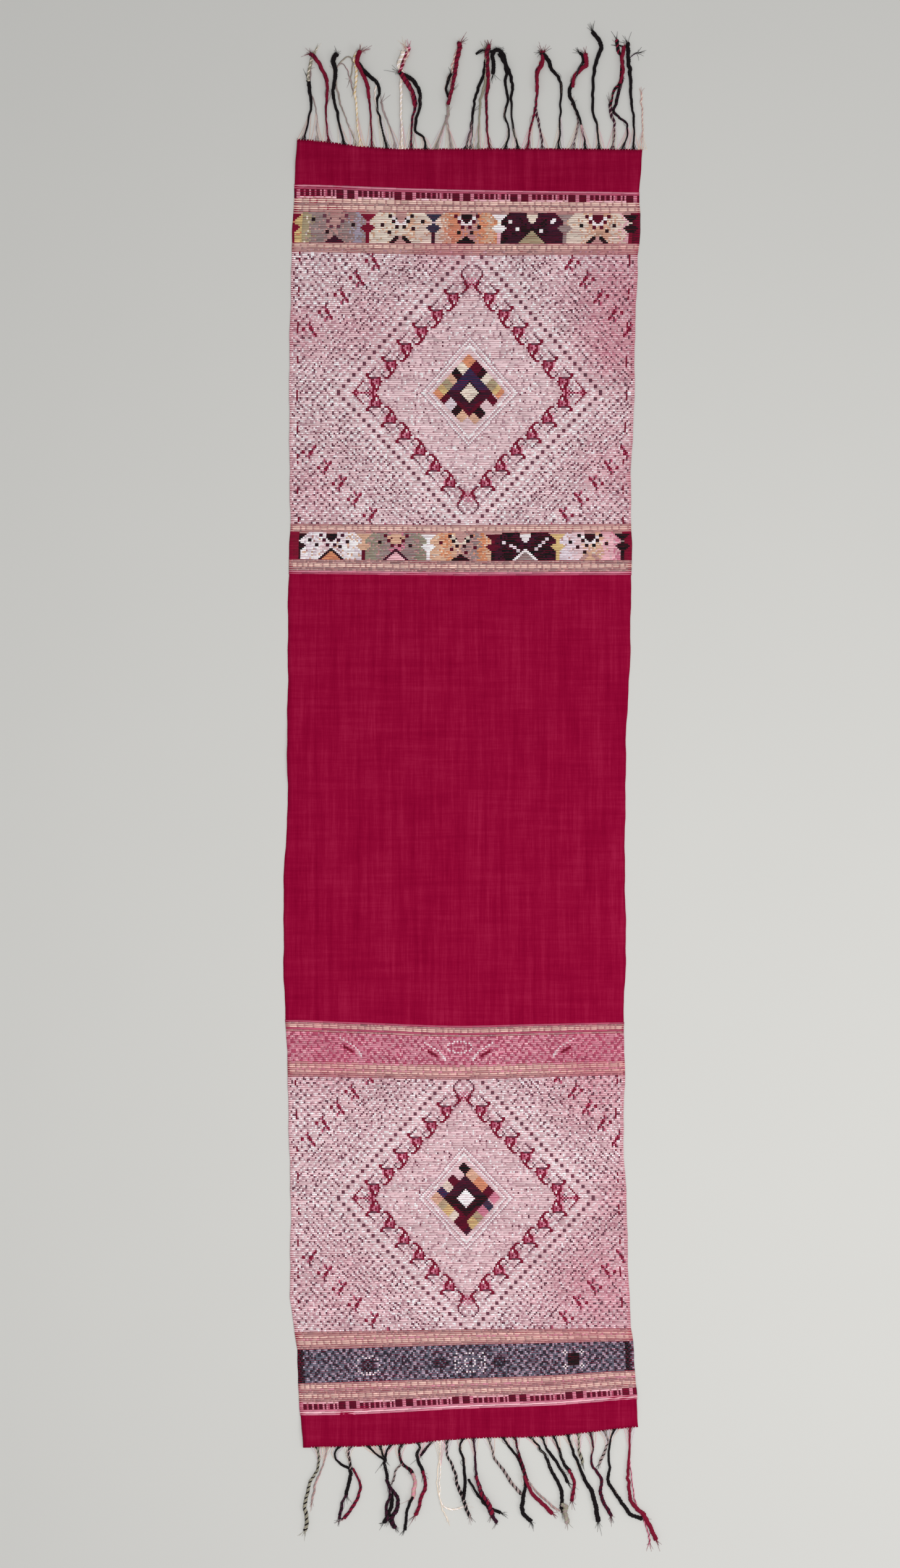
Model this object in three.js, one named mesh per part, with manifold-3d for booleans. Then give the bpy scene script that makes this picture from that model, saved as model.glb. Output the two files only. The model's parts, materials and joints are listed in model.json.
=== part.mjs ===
// A hand-woven ceremonial cloth with a twisted warp fringe at each end, lying flat.
// Millimetres, +Z up. +Y runs along the warp to the head end, +X to the right, and z = 0 is the surface it lies on.
// The origin is the middle of the whole outline, at the underside.

import * as THREE from "three";
import { mergeVertices } from "three/addons/utils/BufferGeometryUtils.js";
import Module from "manifold-3d";

const wasm = await Module();
wasm.setup();

// Driving sizes
const CLOTH_THICKNESS = 1.2;
const CLOTH_COLUMNS = 22;
const CLOTH_ROWS = 64;
const STRIP_GAP = 0.3;
const STRIP_WIDTH = 5;
const STRIP_HEIGHT = 1.4;
const STRIP_COLUMNS = 22;
const STRAND_ROOT_DEPTH = 2.5;
const STRAND_STEPS = 9;
const STRAND_HEIGHT = 2;
const TIP_TAPER = 0.6;
const SETTLED_BY = 0.5;
const MERGE_WITHIN = 1e-4;
const QUARTERS = [0, 0.25, 0.5, 0.75, 1];

// The woven outline, one row for each weft line that the pattern shows, from head to foot.
// at: place on the middle warp. left, right: where the selvages lie.
// rises: how far the weft line bows off straight, at the left selvage, the quarters, and the right selvage.
const WEFT_LINES = [
  { line: "head hem edge", at: 834.4, left: -214.4, right: 232.8, rises: [12, 0.8, 0, 0, -0.8] },
  { line: "head pink line", at: 780.8, left: -216.8, right: 228.8, rises: [7.2, 3.2, 0, -1.6, -3.2] },
  { line: "upper motif band head side", at: 750.4, left: -217.6, right: 230, rises: [0.8, 0.4, 0, -0.4, -0.8] },
  { line: "upper motif band foot side", at: 711.2, left: -220, right: 228.8, rises: [1.6, 0.8, 0, 0, 0] },
  { line: "upper field head side", at: 696, left: -220.8, right: 226.4, rises: [4.8, 2.4, 0, 0.4, 0.8] },
  { line: "upper field, first third", at: 598.4, left: -222.4, right: 223.2, rises: [1, 0.5, 0, 0.2, 0.5] },
  { line: "upper field middle", at: 502.4, left: -224, right: 221.6, rises: [0, 0, 0, 0, 0] },
  { line: "upper field, last third", at: 406.4, left: -222.4, right: 217.6, rises: [0.8, 0.4, 0, 0.4, 0.8] },
  { line: "upper field foot side", at: 347.2, left: -222.4, right: 217.6, rises: [1.6, 0.8, 0, 0.8, 1.6] },
  { line: "plain middle begins", at: 281.6, left: -224.8, right: 219.2, rises: [2.4, 1.2, 0, 0.4, 0.8] },
  { line: "plain middle, a fifth on", at: 166.4, left: -228, right: 218.4, rises: [1, 0.5, 0, 0, 0] },
  { line: "plain middle, two fifths on", at: 70.4, left: -228.8, right: 214.4, rises: [0, 0, 0, 0, 0] },
  { line: "plain middle, half way", at: -25.6, left: -228.8, right: 212.8, rises: [0, 0, 0, 0, 0] },
  { line: "widest on the left", at: -121.6, left: -233.6, right: 212.8, rises: [1, 0.5, 0, 0.4, 0.8] },
  { line: "plain middle, four fifths on", at: -217.6, left: -232.8, right: 212.8, rises: [3, 1.5, 0, 1, 2] },
  { line: "plain middle ends", at: -308, left: -228, right: 208, rises: [8, 4, 0, 2.4, 4.8] },
  { line: "lower field head side", at: -370.4, left: -225.6, right: 209.6, rises: [4, 2, 0, 2.8, 5.6] },
  { line: "lower field, first third", at: -457.6, left: -223.2, right: 208, rises: [1, 0.5, 0, 1, 2] },
  { line: "lower field middle", at: -553.6, left: -221.6, right: 212.8, rises: [0, 0, 0, 0, 0] },
  { line: "lower field, last third", at: -649.6, left: -222.4, right: 215.2, rises: [-2, -1, 0, 0.5, 1] },
  { line: "lower field foot side", at: -693.6, left: -217.6, right: 217.6, rises: [-3.2, -1.6, 0, 0.8, 1.6] },
  { line: "dark band head side", at: -713.6, left: -212.8, right: 220, rises: [-6.4, -3.2, 0, 2.4, 4.8] },
  { line: "dark band foot side", at: -756.8, left: -212, right: 223.2, rises: [-6.4, -3.2, 0, 4, 10.4] },
  { line: "foot pink line", at: -795.2, left: -208.8, right: 225.6, rises: [-8.8, -5.6, 0, 4, 12] },
  { line: "foot hem edge", at: -835.2, left: -206.4, right: 227.2, rises: [-11.2, -8.8, 0, 3.2, 15.2] },
];

// Soft creases where the cloth stands a little off the surface, each an oval mound.
// length and width: how far the mound reaches from its middle. turn: degrees from +X.
const CREASES = [
  { name: "foot hem, left", x: -160, y: -812, turn: 24, length: 120, width: 46, height: 3.2 },
  { name: "foot hem, right corner", x: 196, y: -806, turn: 62, length: 90, width: 44, height: 2.6 },
  { name: "head hem, left corner", x: -176, y: 806, turn: -34, length: 110, width: 46, height: 3 },
  { name: "plain middle, upper", x: -18, y: 240, turn: -38, length: 120, width: 44, height: 2.2 },
  { name: "plain middle, arc", x: -42, y: 146, turn: -33, length: 130, width: 44, height: 2 },
  { name: "plain middle, steep", x: 46, y: 48, turn: -80, length: 100, width: 44, height: 2 },
  { name: "plain middle, right", x: 104, y: 62, turn: 56, length: 80, width: 44, height: 1.8 },
  { name: "plain middle, lower", x: -48, y: -60, turn: -60, length: 90, width: 44, height: 1.8 },
  { name: "left selvage", x: -196, y: 22, turn: -64, length: 110, width: 46, height: 2.4 },
  { name: "right selvage", x: 176, y: -150, turn: 84, length: 150, width: 44, height: 2 },
];

// Twisted warp ends, from left to right. root: place along the hem. reach: how far the tip lies from the hem.
// drift: sideways place at a quarter, half and three quarters of the reach and at the tip, from the root.
const HEAD_STRANDS = [
  { yarn: "black", root: -204.8, reach: 111, width: 2.4, drift: [7, 7, 6, 13] },
  { yarn: "tan", root: -188, reach: 47, width: 1.8, drift: [-1, -2, -2, -3] },
  { yarn: "crimson", root: -172, reach: 106, width: 2.2, drift: [-3, -3, -4, -14] },
  { yarn: "black", root: -152, reach: 109, width: 2.4, drift: [-4, -10, -14, -12] },
  { yarn: "tan", root: -137.6, reach: 44, width: 1.8, drift: [-6, -10, -14, -17] },
  { yarn: "cream", root: -126, reach: 106, width: 2.2, drift: [-5, -8, -8, -8] },
  { yarn: "crimson", root: -114.4, reach: 114, width: 2.4, drift: [-2, -3, -7, -12] },
  { yarn: "black", root: -97.6, reach: 100, width: 2.6, drift: [-10, -12, -9, -19] },
  { yarn: "tan", root: -86.4, reach: 40, width: 1.8, drift: [-4, -8, -11, -14] },
  { yarn: "white", root: -76.8, reach: 93, width: 2.8, drift: [-1, -1, -1, -1] },
  { yarn: "mauve", root: -66.4, reach: 88, width: 2.4, drift: [0, 1, 2, -4] },
  { yarn: "black", root: -47.2, reach: 118, width: 2.6, drift: [-13, -7, -11, -25] },
  { yarn: "grey and crimson", root: -28.8, reach: 133, width: 2.4, drift: [9, 14, 18, 23] },
  { yarn: "black", root: 6, reach: 74, width: 2.4, drift: [4, 8, 11, 13] },
  { yarn: "grey green", root: 20, reach: 117, width: 2.4, drift: [1, 3, 9, 9] },
  { yarn: "crimson", root: 35.2, reach: 125, width: 2.2, drift: [-2, -2, 1, 1] },
  { yarn: "black", root: 55.2, reach: 122, width: 2.4, drift: [2, 3, 2, -6] },
  { yarn: "dark grey", root: 72, reach: 91, width: 2.4, drift: [-5, -8, -7, -9] },
  { yarn: "crimson", root: 84, reach: 118, width: 2.4, drift: [5, 12, 13, 22] },
  { yarn: "mauve", root: 104, reach: 42, width: 2, drift: [-1, -2, -3, -3] },
  { yarn: "black", root: 124.8, reach: 111, width: 2.6, drift: [1, 2, 2, -10] },
  { yarn: "mauve", root: 142.4, reach: 32, width: 2, drift: [1, 2, 2, 2] },
  { yarn: "black and crimson", root: 159.2, reach: 116, width: 2.4, drift: [-6, -17, -14, 0] },
  { yarn: "black", root: 176.8, reach: 137, width: 2.6, drift: [-5, -8, -6, 1] },
  { yarn: "mauve and black", root: 194.4, reach: 136, width: 2.4, drift: [2, -3, 9, 5] },
  { yarn: "dark", root: 207.2, reach: 78, width: 2.2, drift: [5, 6, 4, 4] },
  { yarn: "black green", root: 221.6, reach: 132, width: 2.4, drift: [0, -2, -5, -7] },
  { yarn: "tan", root: 230.4, reach: 68, width: 1.8, drift: [0, -1, -1, -1] },
];

const FOOT_STRANDS = [
  { yarn: "grey green", root: -188, reach: 108, width: 2.4, drift: [1, -10, -15, -15] },
  { yarn: "tan", root: -175.2, reach: 64, width: 1.8, drift: [-4, -8, -12, -18] },
  { yarn: "dark", root: -161, reach: 90, width: 2.4, drift: [1, 12, 9, 2] },
  { yarn: "plum", root: -144.8, reach: 88, width: 2.4, drift: [3, 9, 11, -1] },
  { yarn: "black", root: -122.4, reach: 100, width: 2.6, drift: [18, 24, 30, 22] },
  { yarn: "black", root: -92, reach: 28, width: 2.2, drift: [0, 1, 2, 2] },
  { yarn: "brown and tan", root: -78.4, reach: 109, width: 2.4, drift: [3, 16, 14, 4] },
  { yarn: "black and crimson", root: -56.8, reach: 92, width: 2.4, drift: [0, 7, 8, -4] },
  { yarn: "dark", root: -40.8, reach: 24, width: 2, drift: [-1, -3, -4, -5] },
  { yarn: "cream", root: -28.8, reach: 82, width: 1.8, drift: [0, 0, 0, 0] },
  { yarn: "dark tan", root: -20, reach: 98, width: 2.4, drift: [2, 10, 15, 22] },
  { yarn: "dark green", root: 0, reach: 74, width: 2.4, drift: [0, 3, 5, 7] },
  { yarn: "plum", root: 14.4, reach: 107, width: 2.4, drift: [3, 5, 13, 28] },
  { yarn: "dark tan", root: 34.4, reach: 66, width: 2.2, drift: [5, 10, 20, 34] },
  { yarn: "black", root: 52.8, reach: 108, width: 2.6, drift: [14, 26, 26, 33] },
  { yarn: "crimson", root: 67.2, reach: 98, width: 2.4, drift: [13, 22, 32, 49] },
  { yarn: "dark", root: 88, reach: 92, width: 2.4, drift: [17, 28, 37, 40] },
  { yarn: "black", root: 102.4, reach: 58, width: 2.4, drift: [8, 15, 24, 33] },
  { yarn: "black and crimson", root: 118.4, reach: 82, width: 2.2, drift: [8, 16, 25, 24] },
  { yarn: "black", root: 136.8, reach: 107, width: 2.8, drift: [11, 22, 32, 40] },
  { yarn: "green grey", root: 151, reach: 34, width: 2, drift: [1, 3, 5, 7] },
  { yarn: "plum", root: 165.6, reach: 102, width: 2.4, drift: [2, 9, 14, 26] },
  { yarn: "grey tan", root: 184, reach: 36, width: 2, drift: [2, 1, -2, -6] },
  { yarn: "dark", root: 197.5, reach: 102, width: 2.4, drift: [-6, -6, 0, 20] },
  { yarn: "crimson", root: 217, reach: 140, width: 2.6, drift: [-1, 0, 12, 33] },
];

// Finishes
const CRIMSON_COTTON = new THREE.MeshStandardMaterial({ color: 0x8f0d33, roughness: 0.92, metalness: 0 });
const TWISTED_WARP = new THREE.MeshStandardMaterial({ color: 0x3a1a26, roughness: 0.9, metalness: 0 });

// The value of one column of the weft lines at a place on the middle warp.
function alongWarp(at, column) {
  const after = Math.max(1, WEFT_LINES.findIndex((row) => row.at <= at));
  const next = WEFT_LINES[after];
  const last = WEFT_LINES[after - 1];
  const share = (last.at - at) / (last.at - next.at);
  return THREE.MathUtils.lerp(column(last), column(next), share);
}

// How far the weft line through a place bows at a share of the width, 0 at the left selvage and 1 at the right.
function bowOf(at, share) {
  const bows = new THREE.SplineCurve(
    QUARTERS.map((quarter, i) => new THREE.Vector2(quarter, alongWarp(at, (row) => row.rises[i]))),
  );
  return bows.getPoint(share).y;
}

// How high the creases lift the cloth at a point. It is exactly 0 away from them.
function liftAt(x, y) {
  let lift = 0;
  for (const crease of CREASES) {
    const turn = THREE.MathUtils.degToRad(crease.turn);
    const along = (x - crease.x) * Math.cos(turn) + (y - crease.y) * Math.sin(turn);
    const across = (y - crease.y) * Math.cos(turn) - (x - crease.x) * Math.sin(turn);
    const far = Math.hypot(along / crease.length, across / crease.width);
    lift += far < 1 ? (crease.height * (1 + Math.cos(Math.PI * far))) / 2 : 0;
  }
  return lift;
}

// A point of the woven cloth from a share of its width and a place on the middle warp.
function clothPoint(share, at) {
  const left = alongWarp(at, (row) => row.left);
  const right = alongWarp(at, (row) => row.right);
  const x = THREE.MathUtils.lerp(left, right, share);
  const y = at + bowOf(at, share);
  return new THREE.Vector3(x, y, liftAt(x, y));
}

// Moves every vertex of a geometry to where a function of its old place puts it.
function reshape(geometry, place) {
  const spots = geometry.attributes.position;
  const spot = new THREE.Vector3();
  for (let i = 0; i < spots.count; i += 1) {
    spot.fromBufferAttribute(spots, i);
    const moved = place(spot.clone());
    spots.setXYZ(i, moved.x, moved.y, moved.z);
  }
  geometry.deleteAttribute("normal");
  geometry.deleteAttribute("uv");
  return mergeVertices(geometry, MERGE_WITHIN);
}

const HEAD_END = WEFT_LINES[0].at;
const FOOT_END = WEFT_LINES[WEFT_LINES.length - 1].at;

// The woven cloth with its two hems, one sheet.
function wovenCloth() {
  const length = HEAD_END - FOOT_END;
  const sheet = new THREE.BoxGeometry(1, length, CLOTH_THICKNESS, CLOTH_COLUMNS, CLOTH_ROWS, 1);
  const middle = (HEAD_END + FOOT_END) / 2;
  return reshape(sheet, (spot) => {
    const place = clothPoint(spot.x + 0.5, spot.y + middle);
    place.z += spot.z + CLOTH_THICKNESS / 2;
    return place;
  });
}

// The hem edge at a place across the cloth, for the end that the fringe hangs from.
function hemEdge(end, x) {
  const left = alongWarp(end, (row) => row.left);
  const right = alongWarp(end, (row) => row.right);
  return end + bowOf(end, THREE.MathUtils.clamp((x - left) / (right - left), 0, 1));
}

// The narrow strip of first twists that holds the strands together just off the hem.
function rootStrip(end, outward) {
  const left = alongWarp(end, (row) => row.left);
  const right = alongWarp(end, (row) => row.right);
  const strip = new THREE.BoxGeometry(right - left, STRIP_WIDTH, STRIP_HEIGHT, STRIP_COLUMNS, 1, 1);
  return reshape(strip, (spot) => {
    const x = spot.x + (left + right) / 2;
    const lift = liftAt(x, hemEdge(end, x));
    const off = outward * (STRIP_GAP + STRIP_WIDTH / 2);
    return new THREE.Vector3(x, hemEdge(end, x) + off + spot.y, spot.z + STRIP_HEIGHT / 2 + lift);
  });
}

// One twisted strand, four-sided, level on the surface, from inside the strip to its tip.
function strandSolid(strand, end, outward) {
  const rootY = hemEdge(end, strand.root) + outward * (STRIP_GAP + STRIP_WIDTH - STRAND_ROOT_DEPTH);
  const tipY = hemEdge(end, strand.root) + outward * strand.reach;
  const route = new THREE.SplineCurve(
    [0, ...strand.drift].map((drift, i) => {
      const y = THREE.MathUtils.lerp(rootY, tipY, QUARTERS[i]);
      return new THREE.Vector2(strand.root + drift, y);
    }),
  );
  const box = new THREE.BoxGeometry(strand.width, 1, STRAND_HEIGHT, 1, STRAND_STEPS, 1);
  return reshape(box, (spot) => {
    const share = outward > 0 ? spot.y + 0.5 : 0.5 - spot.y;
    const centre = route.getPoint(share);
    const heading = route.getTangent(share);
    const slim = THREE.MathUtils.lerp(1, TIP_TAPER, share);
    const aside = outward * spot.x * slim;
    const lift = liftAt(strand.root, hemEdge(end, strand.root)) * Math.max(0, 1 - share / SETTLED_BY);
    return new THREE.Vector3(
      centre.x + aside * heading.y,
      centre.y - aside * heading.x,
      (spot.z + STRAND_HEIGHT / 2) * slim + lift,
    );
  });
}

function solidFrom(geometry) {
  return new wasm.Manifold(
    new wasm.Mesh({
      numProp: 3,
      vertProperties: geometry.attributes.position.array,
      triVerts: new Uint32Array(geometry.index.array),
    }),
  );
}

// The strip and its strands fused into one body.
function fringe(strands, end, outward) {
  let body = solidFrom(rootStrip(end, outward));
  for (const strand of strands) {
    body = body.add(solidFrom(strandSolid(strand, end, outward)));
  }
  const mesh = body.getMesh();
  const fused = new THREE.BufferGeometry();
  fused.setAttribute("position", new THREE.BufferAttribute(mesh.vertProperties, 3));
  fused.setIndex(new THREE.BufferAttribute(mesh.triVerts, 1));
  return fused;
}

function subPart(name, geometry, material) {
  const mesh = new THREE.Mesh(geometry, material);
  mesh.name = name;
  return mesh;
}

const cloth = new THREE.Group();
cloth.add(subPart("cloth", wovenCloth(), CRIMSON_COTTON));
cloth.add(subPart("head_fringe", fringe(HEAD_STRANDS, HEAD_END, 1), TWISTED_WARP));
cloth.add(subPart("foot_fringe", fringe(FOOT_STRANDS, FOOT_END, -1), TWISTED_WARP));

// The origin goes to the middle of the outline, at the underside.
const outline = new THREE.Box3().setFromObject(cloth);
const middle = outline.getCenter(new THREE.Vector3());
for (const piece of cloth.children) {
  piece.position.set(-middle.x, -middle.y, -outline.min.z);
}

export default cloth;
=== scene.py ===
"""A hand-woven ceremonial cloth: crimson ground, extra-weft pattern and twisted warp fringes."""

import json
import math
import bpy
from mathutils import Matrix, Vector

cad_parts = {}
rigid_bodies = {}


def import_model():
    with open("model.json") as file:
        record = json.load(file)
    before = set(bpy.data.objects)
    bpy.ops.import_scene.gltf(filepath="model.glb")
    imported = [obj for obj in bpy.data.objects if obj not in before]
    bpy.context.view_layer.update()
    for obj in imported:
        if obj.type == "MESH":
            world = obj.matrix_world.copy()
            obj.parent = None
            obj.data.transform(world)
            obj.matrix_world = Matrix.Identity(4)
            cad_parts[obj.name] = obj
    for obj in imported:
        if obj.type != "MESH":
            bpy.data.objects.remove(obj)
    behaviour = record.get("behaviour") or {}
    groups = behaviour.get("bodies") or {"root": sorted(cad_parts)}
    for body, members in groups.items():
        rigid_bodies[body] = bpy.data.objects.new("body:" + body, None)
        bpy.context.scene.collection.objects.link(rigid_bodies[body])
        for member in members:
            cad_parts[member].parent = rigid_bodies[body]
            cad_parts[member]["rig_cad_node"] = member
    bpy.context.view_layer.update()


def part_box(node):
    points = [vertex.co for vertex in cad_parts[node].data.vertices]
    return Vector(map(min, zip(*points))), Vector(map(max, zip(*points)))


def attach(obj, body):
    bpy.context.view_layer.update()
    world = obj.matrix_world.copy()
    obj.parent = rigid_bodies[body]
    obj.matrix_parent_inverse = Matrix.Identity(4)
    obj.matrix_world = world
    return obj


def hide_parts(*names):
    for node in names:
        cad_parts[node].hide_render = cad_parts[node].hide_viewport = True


bl_info = {
    "name": "Hand-woven ceremonial cloth",
    "version": (1, 0, 0),
    "blender": (4, 5, 0),
    "location": "3D View > Sidebar > Cloth",
    "description": "Weaves the ground, the extra-weft pattern and the warp fringes of a ceremonial cloth",
    "category": "Object",
}

import bmesh
import bpy
import numpy as np
from mathutils import Vector

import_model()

MM = 0.001
SEED = 7

# The woven outline in millimetres, one row for each weft line, from head to foot: its place on the middle
# warp, the left and the right selvage, and how far it bows at the left selvage, at each quarter of the width
# and at the right selvage.
WEFT_LINES = np.array((
    (834.4, -214.4, 232.8, 12, 0.8, 0, 0, -0.8),  # head hem edge
    (780.8, -216.8, 228.8, 7.2, 3.2, 0, -1.6, -3.2),  # head pink line
    (750.4, -217.6, 230, 0.8, 0.4, 0, -0.4, -0.8),  # upper motif band head side
    (711.2, -220, 228.8, 1.6, 0.8, 0, 0, 0),  # upper motif band foot side
    (696, -220.8, 226.4, 4.8, 2.4, 0, 0.4, 0.8),  # upper field head side
    (598.4, -222.4, 223.2, 1, 0.5, 0, 0.2, 0.5),  # upper field, first third
    (502.4, -224, 221.6, 0, 0, 0, 0, 0),  # upper field middle
    (406.4, -222.4, 217.6, 0.8, 0.4, 0, 0.4, 0.8),  # upper field, last third
    (347.2, -222.4, 217.6, 1.6, 0.8, 0, 0.8, 1.6),  # upper field foot side
    (281.6, -224.8, 219.2, 2.4, 1.2, 0, 0.4, 0.8),  # plain middle begins
    (166.4, -228, 218.4, 1, 0.5, 0, 0, 0),  # plain middle, a fifth on
    (70.4, -228.8, 214.4, 0, 0, 0, 0, 0),  # plain middle, two fifths on
    (-25.6, -228.8, 212.8, 0, 0, 0, 0, 0),  # plain middle, half way
    (-121.6, -233.6, 212.8, 1, 0.5, 0, 0.4, 0.8),  # widest on the left
    (-217.6, -232.8, 212.8, 3, 1.5, 0, 1, 2),  # plain middle, four fifths on
    (-308, -228, 208, 8, 4, 0, 2.4, 4.8),  # plain middle ends
    (-370.4, -225.6, 209.6, 4, 2, 0, 2.8, 5.6),  # lower field head side
    (-457.6, -223.2, 208, 1, 0.5, 0, 1, 2),  # lower field, first third
    (-553.6, -221.6, 212.8, 0, 0, 0, 0, 0),  # lower field middle
    (-649.6, -222.4, 215.2, -2, -1, 0, 0.5, 1),  # lower field, last third
    (-693.6, -217.6, 217.6, -3.2, -1.6, 0, 0.8, 1.6),  # lower field foot side
    (-713.6, -212.8, 220, -6.4, -3.2, 0, 2.4, 4.8),  # dark band head side
    (-756.8, -212, 223.2, -6.4, -3.2, 0, 4, 10.4),  # dark band foot side
    (-795.2, -208.8, 225.6, -8.8, -5.6, 0, 4, 12),  # foot pink line
    (-835.2, -206.4, 227.2, -11.2, -8.8, 0, 3.2, 15.2),  # foot hem edge
))
HEAD_END = WEFT_LINES[0, 0]
FOOT_END = WEFT_LINES[-1, 0]
FURTHEST_LEFT = WEFT_LINES[:, 1].min()
HIGHEST_CORNER = HEAD_END + WEFT_LINES[0, 3]
# The same lines from foot to head, as columns.
PLACES, LEFT, RIGHT, *BOWS = WEFT_LINES[::-1].T

# Creases in millimetres: middle x and y, turn in degrees, how far each reaches along and across, height.
# The first ten are the solid's own soft mounds, and the rest are finer ones that only the surface shows.
CREASES = (
    (-160, -812, 24, 120, 46, 3.2),  # foot hem, left
    (196, -806, 62, 90, 44, 2.6),  # foot hem, right corner
    (-176, 806, -34, 110, 46, 3),  # head hem, left corner
    (-18, 240, -38, 120, 44, 2.2),  # plain middle, upper
    (-42, 146, -33, 130, 44, 2),  # plain middle, arc
    (46, 48, -80, 100, 44, 2),  # plain middle, steep
    (104, 62, 56, 80, 44, 1.8),  # plain middle, right
    (-48, -60, -60, 90, 44, 1.8),  # plain middle, lower
    (-196, 22, -64, 110, 46, 2.4),  # left selvage
    (176, -150, 84, 150, 44, 2),  # right selvage
    (-26, 246, -40, 62, 9, 0.7),  # sharp, upper middle
    (-44, 150, -36, 70, 8, 0.6),  # sharp, arc
    (6, 104, -72, 38, 8, 0.5),  # sharp, below the arc
    (44, 52, -78, 44, 9, 0.6),  # sharp, steep
    (104, 62, 58, 44, 9, 0.6),  # sharp, right
    (-50, -62, -62, 40, 9, 0.6),  # sharp, lower
    (-186, 30, -62, 42, 9, 0.6),  # sharp, left
    (-164, -812, 20, 60, 8, 0.8),  # sharp, foot hem, upper fold
    (-140, -822, 8, 70, 7, 0.6),  # sharp, foot hem, lower fold
    (198, -806, 40, 40, 8, 0.7),  # sharp, foot hem, right
    (-150, 812, -18, 70, 8, 0.6),  # sharp, head hem
)

# Where the crimson dye has bled into the pale weft: middle x and y, radius in millimetres, and strength.
DYE_BLEEDS = (
    (206, 646, 70, 0.5),  # upper field, right corner
    (196, 560, 46, 0.34),  # upper field, right of the diamond
    (206, 410, 60, 0.34),  # upper field, right and low
    (-212, 600, 34, 0.34),  # upper field, left selvage
    (-196, 392, 46, 0.24),  # upper field, left and low
    (-120, 600, 60, 0.2),  # upper field, hatching
    (182, -640, 74, 0.46),  # lower field, foot right
    (204, -520, 40, 0.3),  # lower field, right selvage
    (176, -406, 50, 0.26),  # lower field, head right
    (-170, -640, 60, 0.2),  # lower field, left and low
    (0, -530, 260, 0.08),  # lower field, all over
    (180, -338, 60, 0.3),  # rose band, right end
    (-180, -334, 56, 0.3),  # rose band, left end
    (-20, 703, 40, 0.3),  # dashed border, head
    (-150, -333, 70, 0.14),  # rose band, left
    (0, -333, 80, 0.16),  # rose band, middle
    (130, -333, 60, 0.12),  # rose band, right
    (-110, -770, 90, 0.12),  # dashed borders, foot left
    (110, -770, 90, 0.12),  # dashed borders, foot right
)
BLED_COLOUR = "#C2506F"

# Yarns: name, letter in the charts, sRGB hex, what it is.
YARNS = (
    ("pale_silk", "w", "#E8CACE", "undyed silk, faintly pink from the ground's dye"),
    ("white_silk", "W", "#FFF6F8", "brighter undyed silk"),
    # The grey silk stands in for the gaps between floats: partly the ground showing through, partly painted
    # shade in the gaps.
    ("grey_silk_and_gap_shade", "g", "#BC98A1", "silk greyed by the ground showing through"),
    ("mauve_silk", "q", "#6A404E", "dark mauve silk of the small dots"),
    ("pink_silk", "p", "#D4849A", "silk stained pink"),
    ("dark_crimson", "k", "#7A0D2B", "crimson silk, doubled"),
    ("line_pink", "P", "#D08195", "pink cotton of the edging lines"),
    ("tick_pink", "x", "#F0BCC4", "pale pink between the ticks"),
    ("salmon", "t", "#C09691", "tan silk of the dashed borders"),
    ("salmon_grey", "T", "#A48180", "greyer tan silk"),
    ("dash_pink", "d", "#E8C3B6", "pale dashes in the borders"),
    ("cream", "c", "#EADBCB", "cream silk"),
    ("peach", "a", "#DCB296", "peach silk"),
    ("orange", "o", "#D9916B", "orange silk"),
    ("yellow", "y", "#D9BC82", "yellow silk"),
    ("olive", "v", "#AE9F80", "olive silk"),
    ("black", "b", "#110A0D", "black silk"),
    ("plum", "m", "#351023", "plum silk"),
    ("maroon", "r", "#54051F", "maroon silk"),
    ("indigo", "n", "#2A2548", "indigo silk"),
    ("navy", "N", "#2B3045", "navy silk"),
    ("taupe", "e", "#9A8785", "mauve-grey silk"),
    ("grey_green", "G", "#96907F", "grey-green silk"),
    ("lilac", "l", "#E4D6DE", "lilac silk"),
    ("charcoal", "u", "#626170", "charcoal silk"),
    ("slate", "S", "#2C2733", "slate silk"),
    ("lilac_grey", "U", "#A8A0B0", "lilac-grey silk"),
    ("rose", "R", "#DA95A5", "rose silk"),
    ("rose_dark", "s", "#B0506A", "deep rose silk"),
)
BARE = "."

# Cells across the fields and the speckled bands, and across the coarser motif bands and borders.
FIELD_COLUMNS = 204
BAND_COLUMNS = 190


def hex_colour(text):
    """A linear RGB colour from an sRGB hex value."""
    parts = [int(text[i : i + 2], 16) / 255 for i in (1, 3, 5)]
    return tuple(c / 12.92 if c <= 0.04045 else ((c + 0.055) / 1.055) ** 2.4 for c in parts)


def length_property(name, note, value):
    """A length setting, in metres."""
    return bpy.props.FloatProperty(name=name, description=note, default=value, unit="LENGTH")


def colour_property(name, note, value):
    """A colour setting, from an sRGB hex value."""
    return bpy.props.FloatVectorProperty(
        name=name, description=note, default=hex_colour(value), subtype="COLOR", min=0, max=1
    )


class ClothSizes(bpy.types.PropertyGroup):
    """Sizes of the weave, in metres."""

    ground_thickness: length_property("Ground thickness", "Thickness of the plain ground", 0.7 * MM)
    float_height: length_property("Float height", "How far the extra weft stands up", 0.24 * MM)
    float_cover: bpy.props.FloatProperty(
        name="Float cover",
        description="Breadth of a float, as a share of its row",
        default=1.12,
        soft_max=1.3,
    )
    end_taper: length_property("Float end", "Length over which a float dips into the ground", 0.6 * MM)
    columns: bpy.props.IntProperty(name="Ground columns", description="Faces across the ground", default=74)
    rows: bpy.props.IntProperty(name="Ground rows", description="Faces along the ground", default=264)


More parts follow.
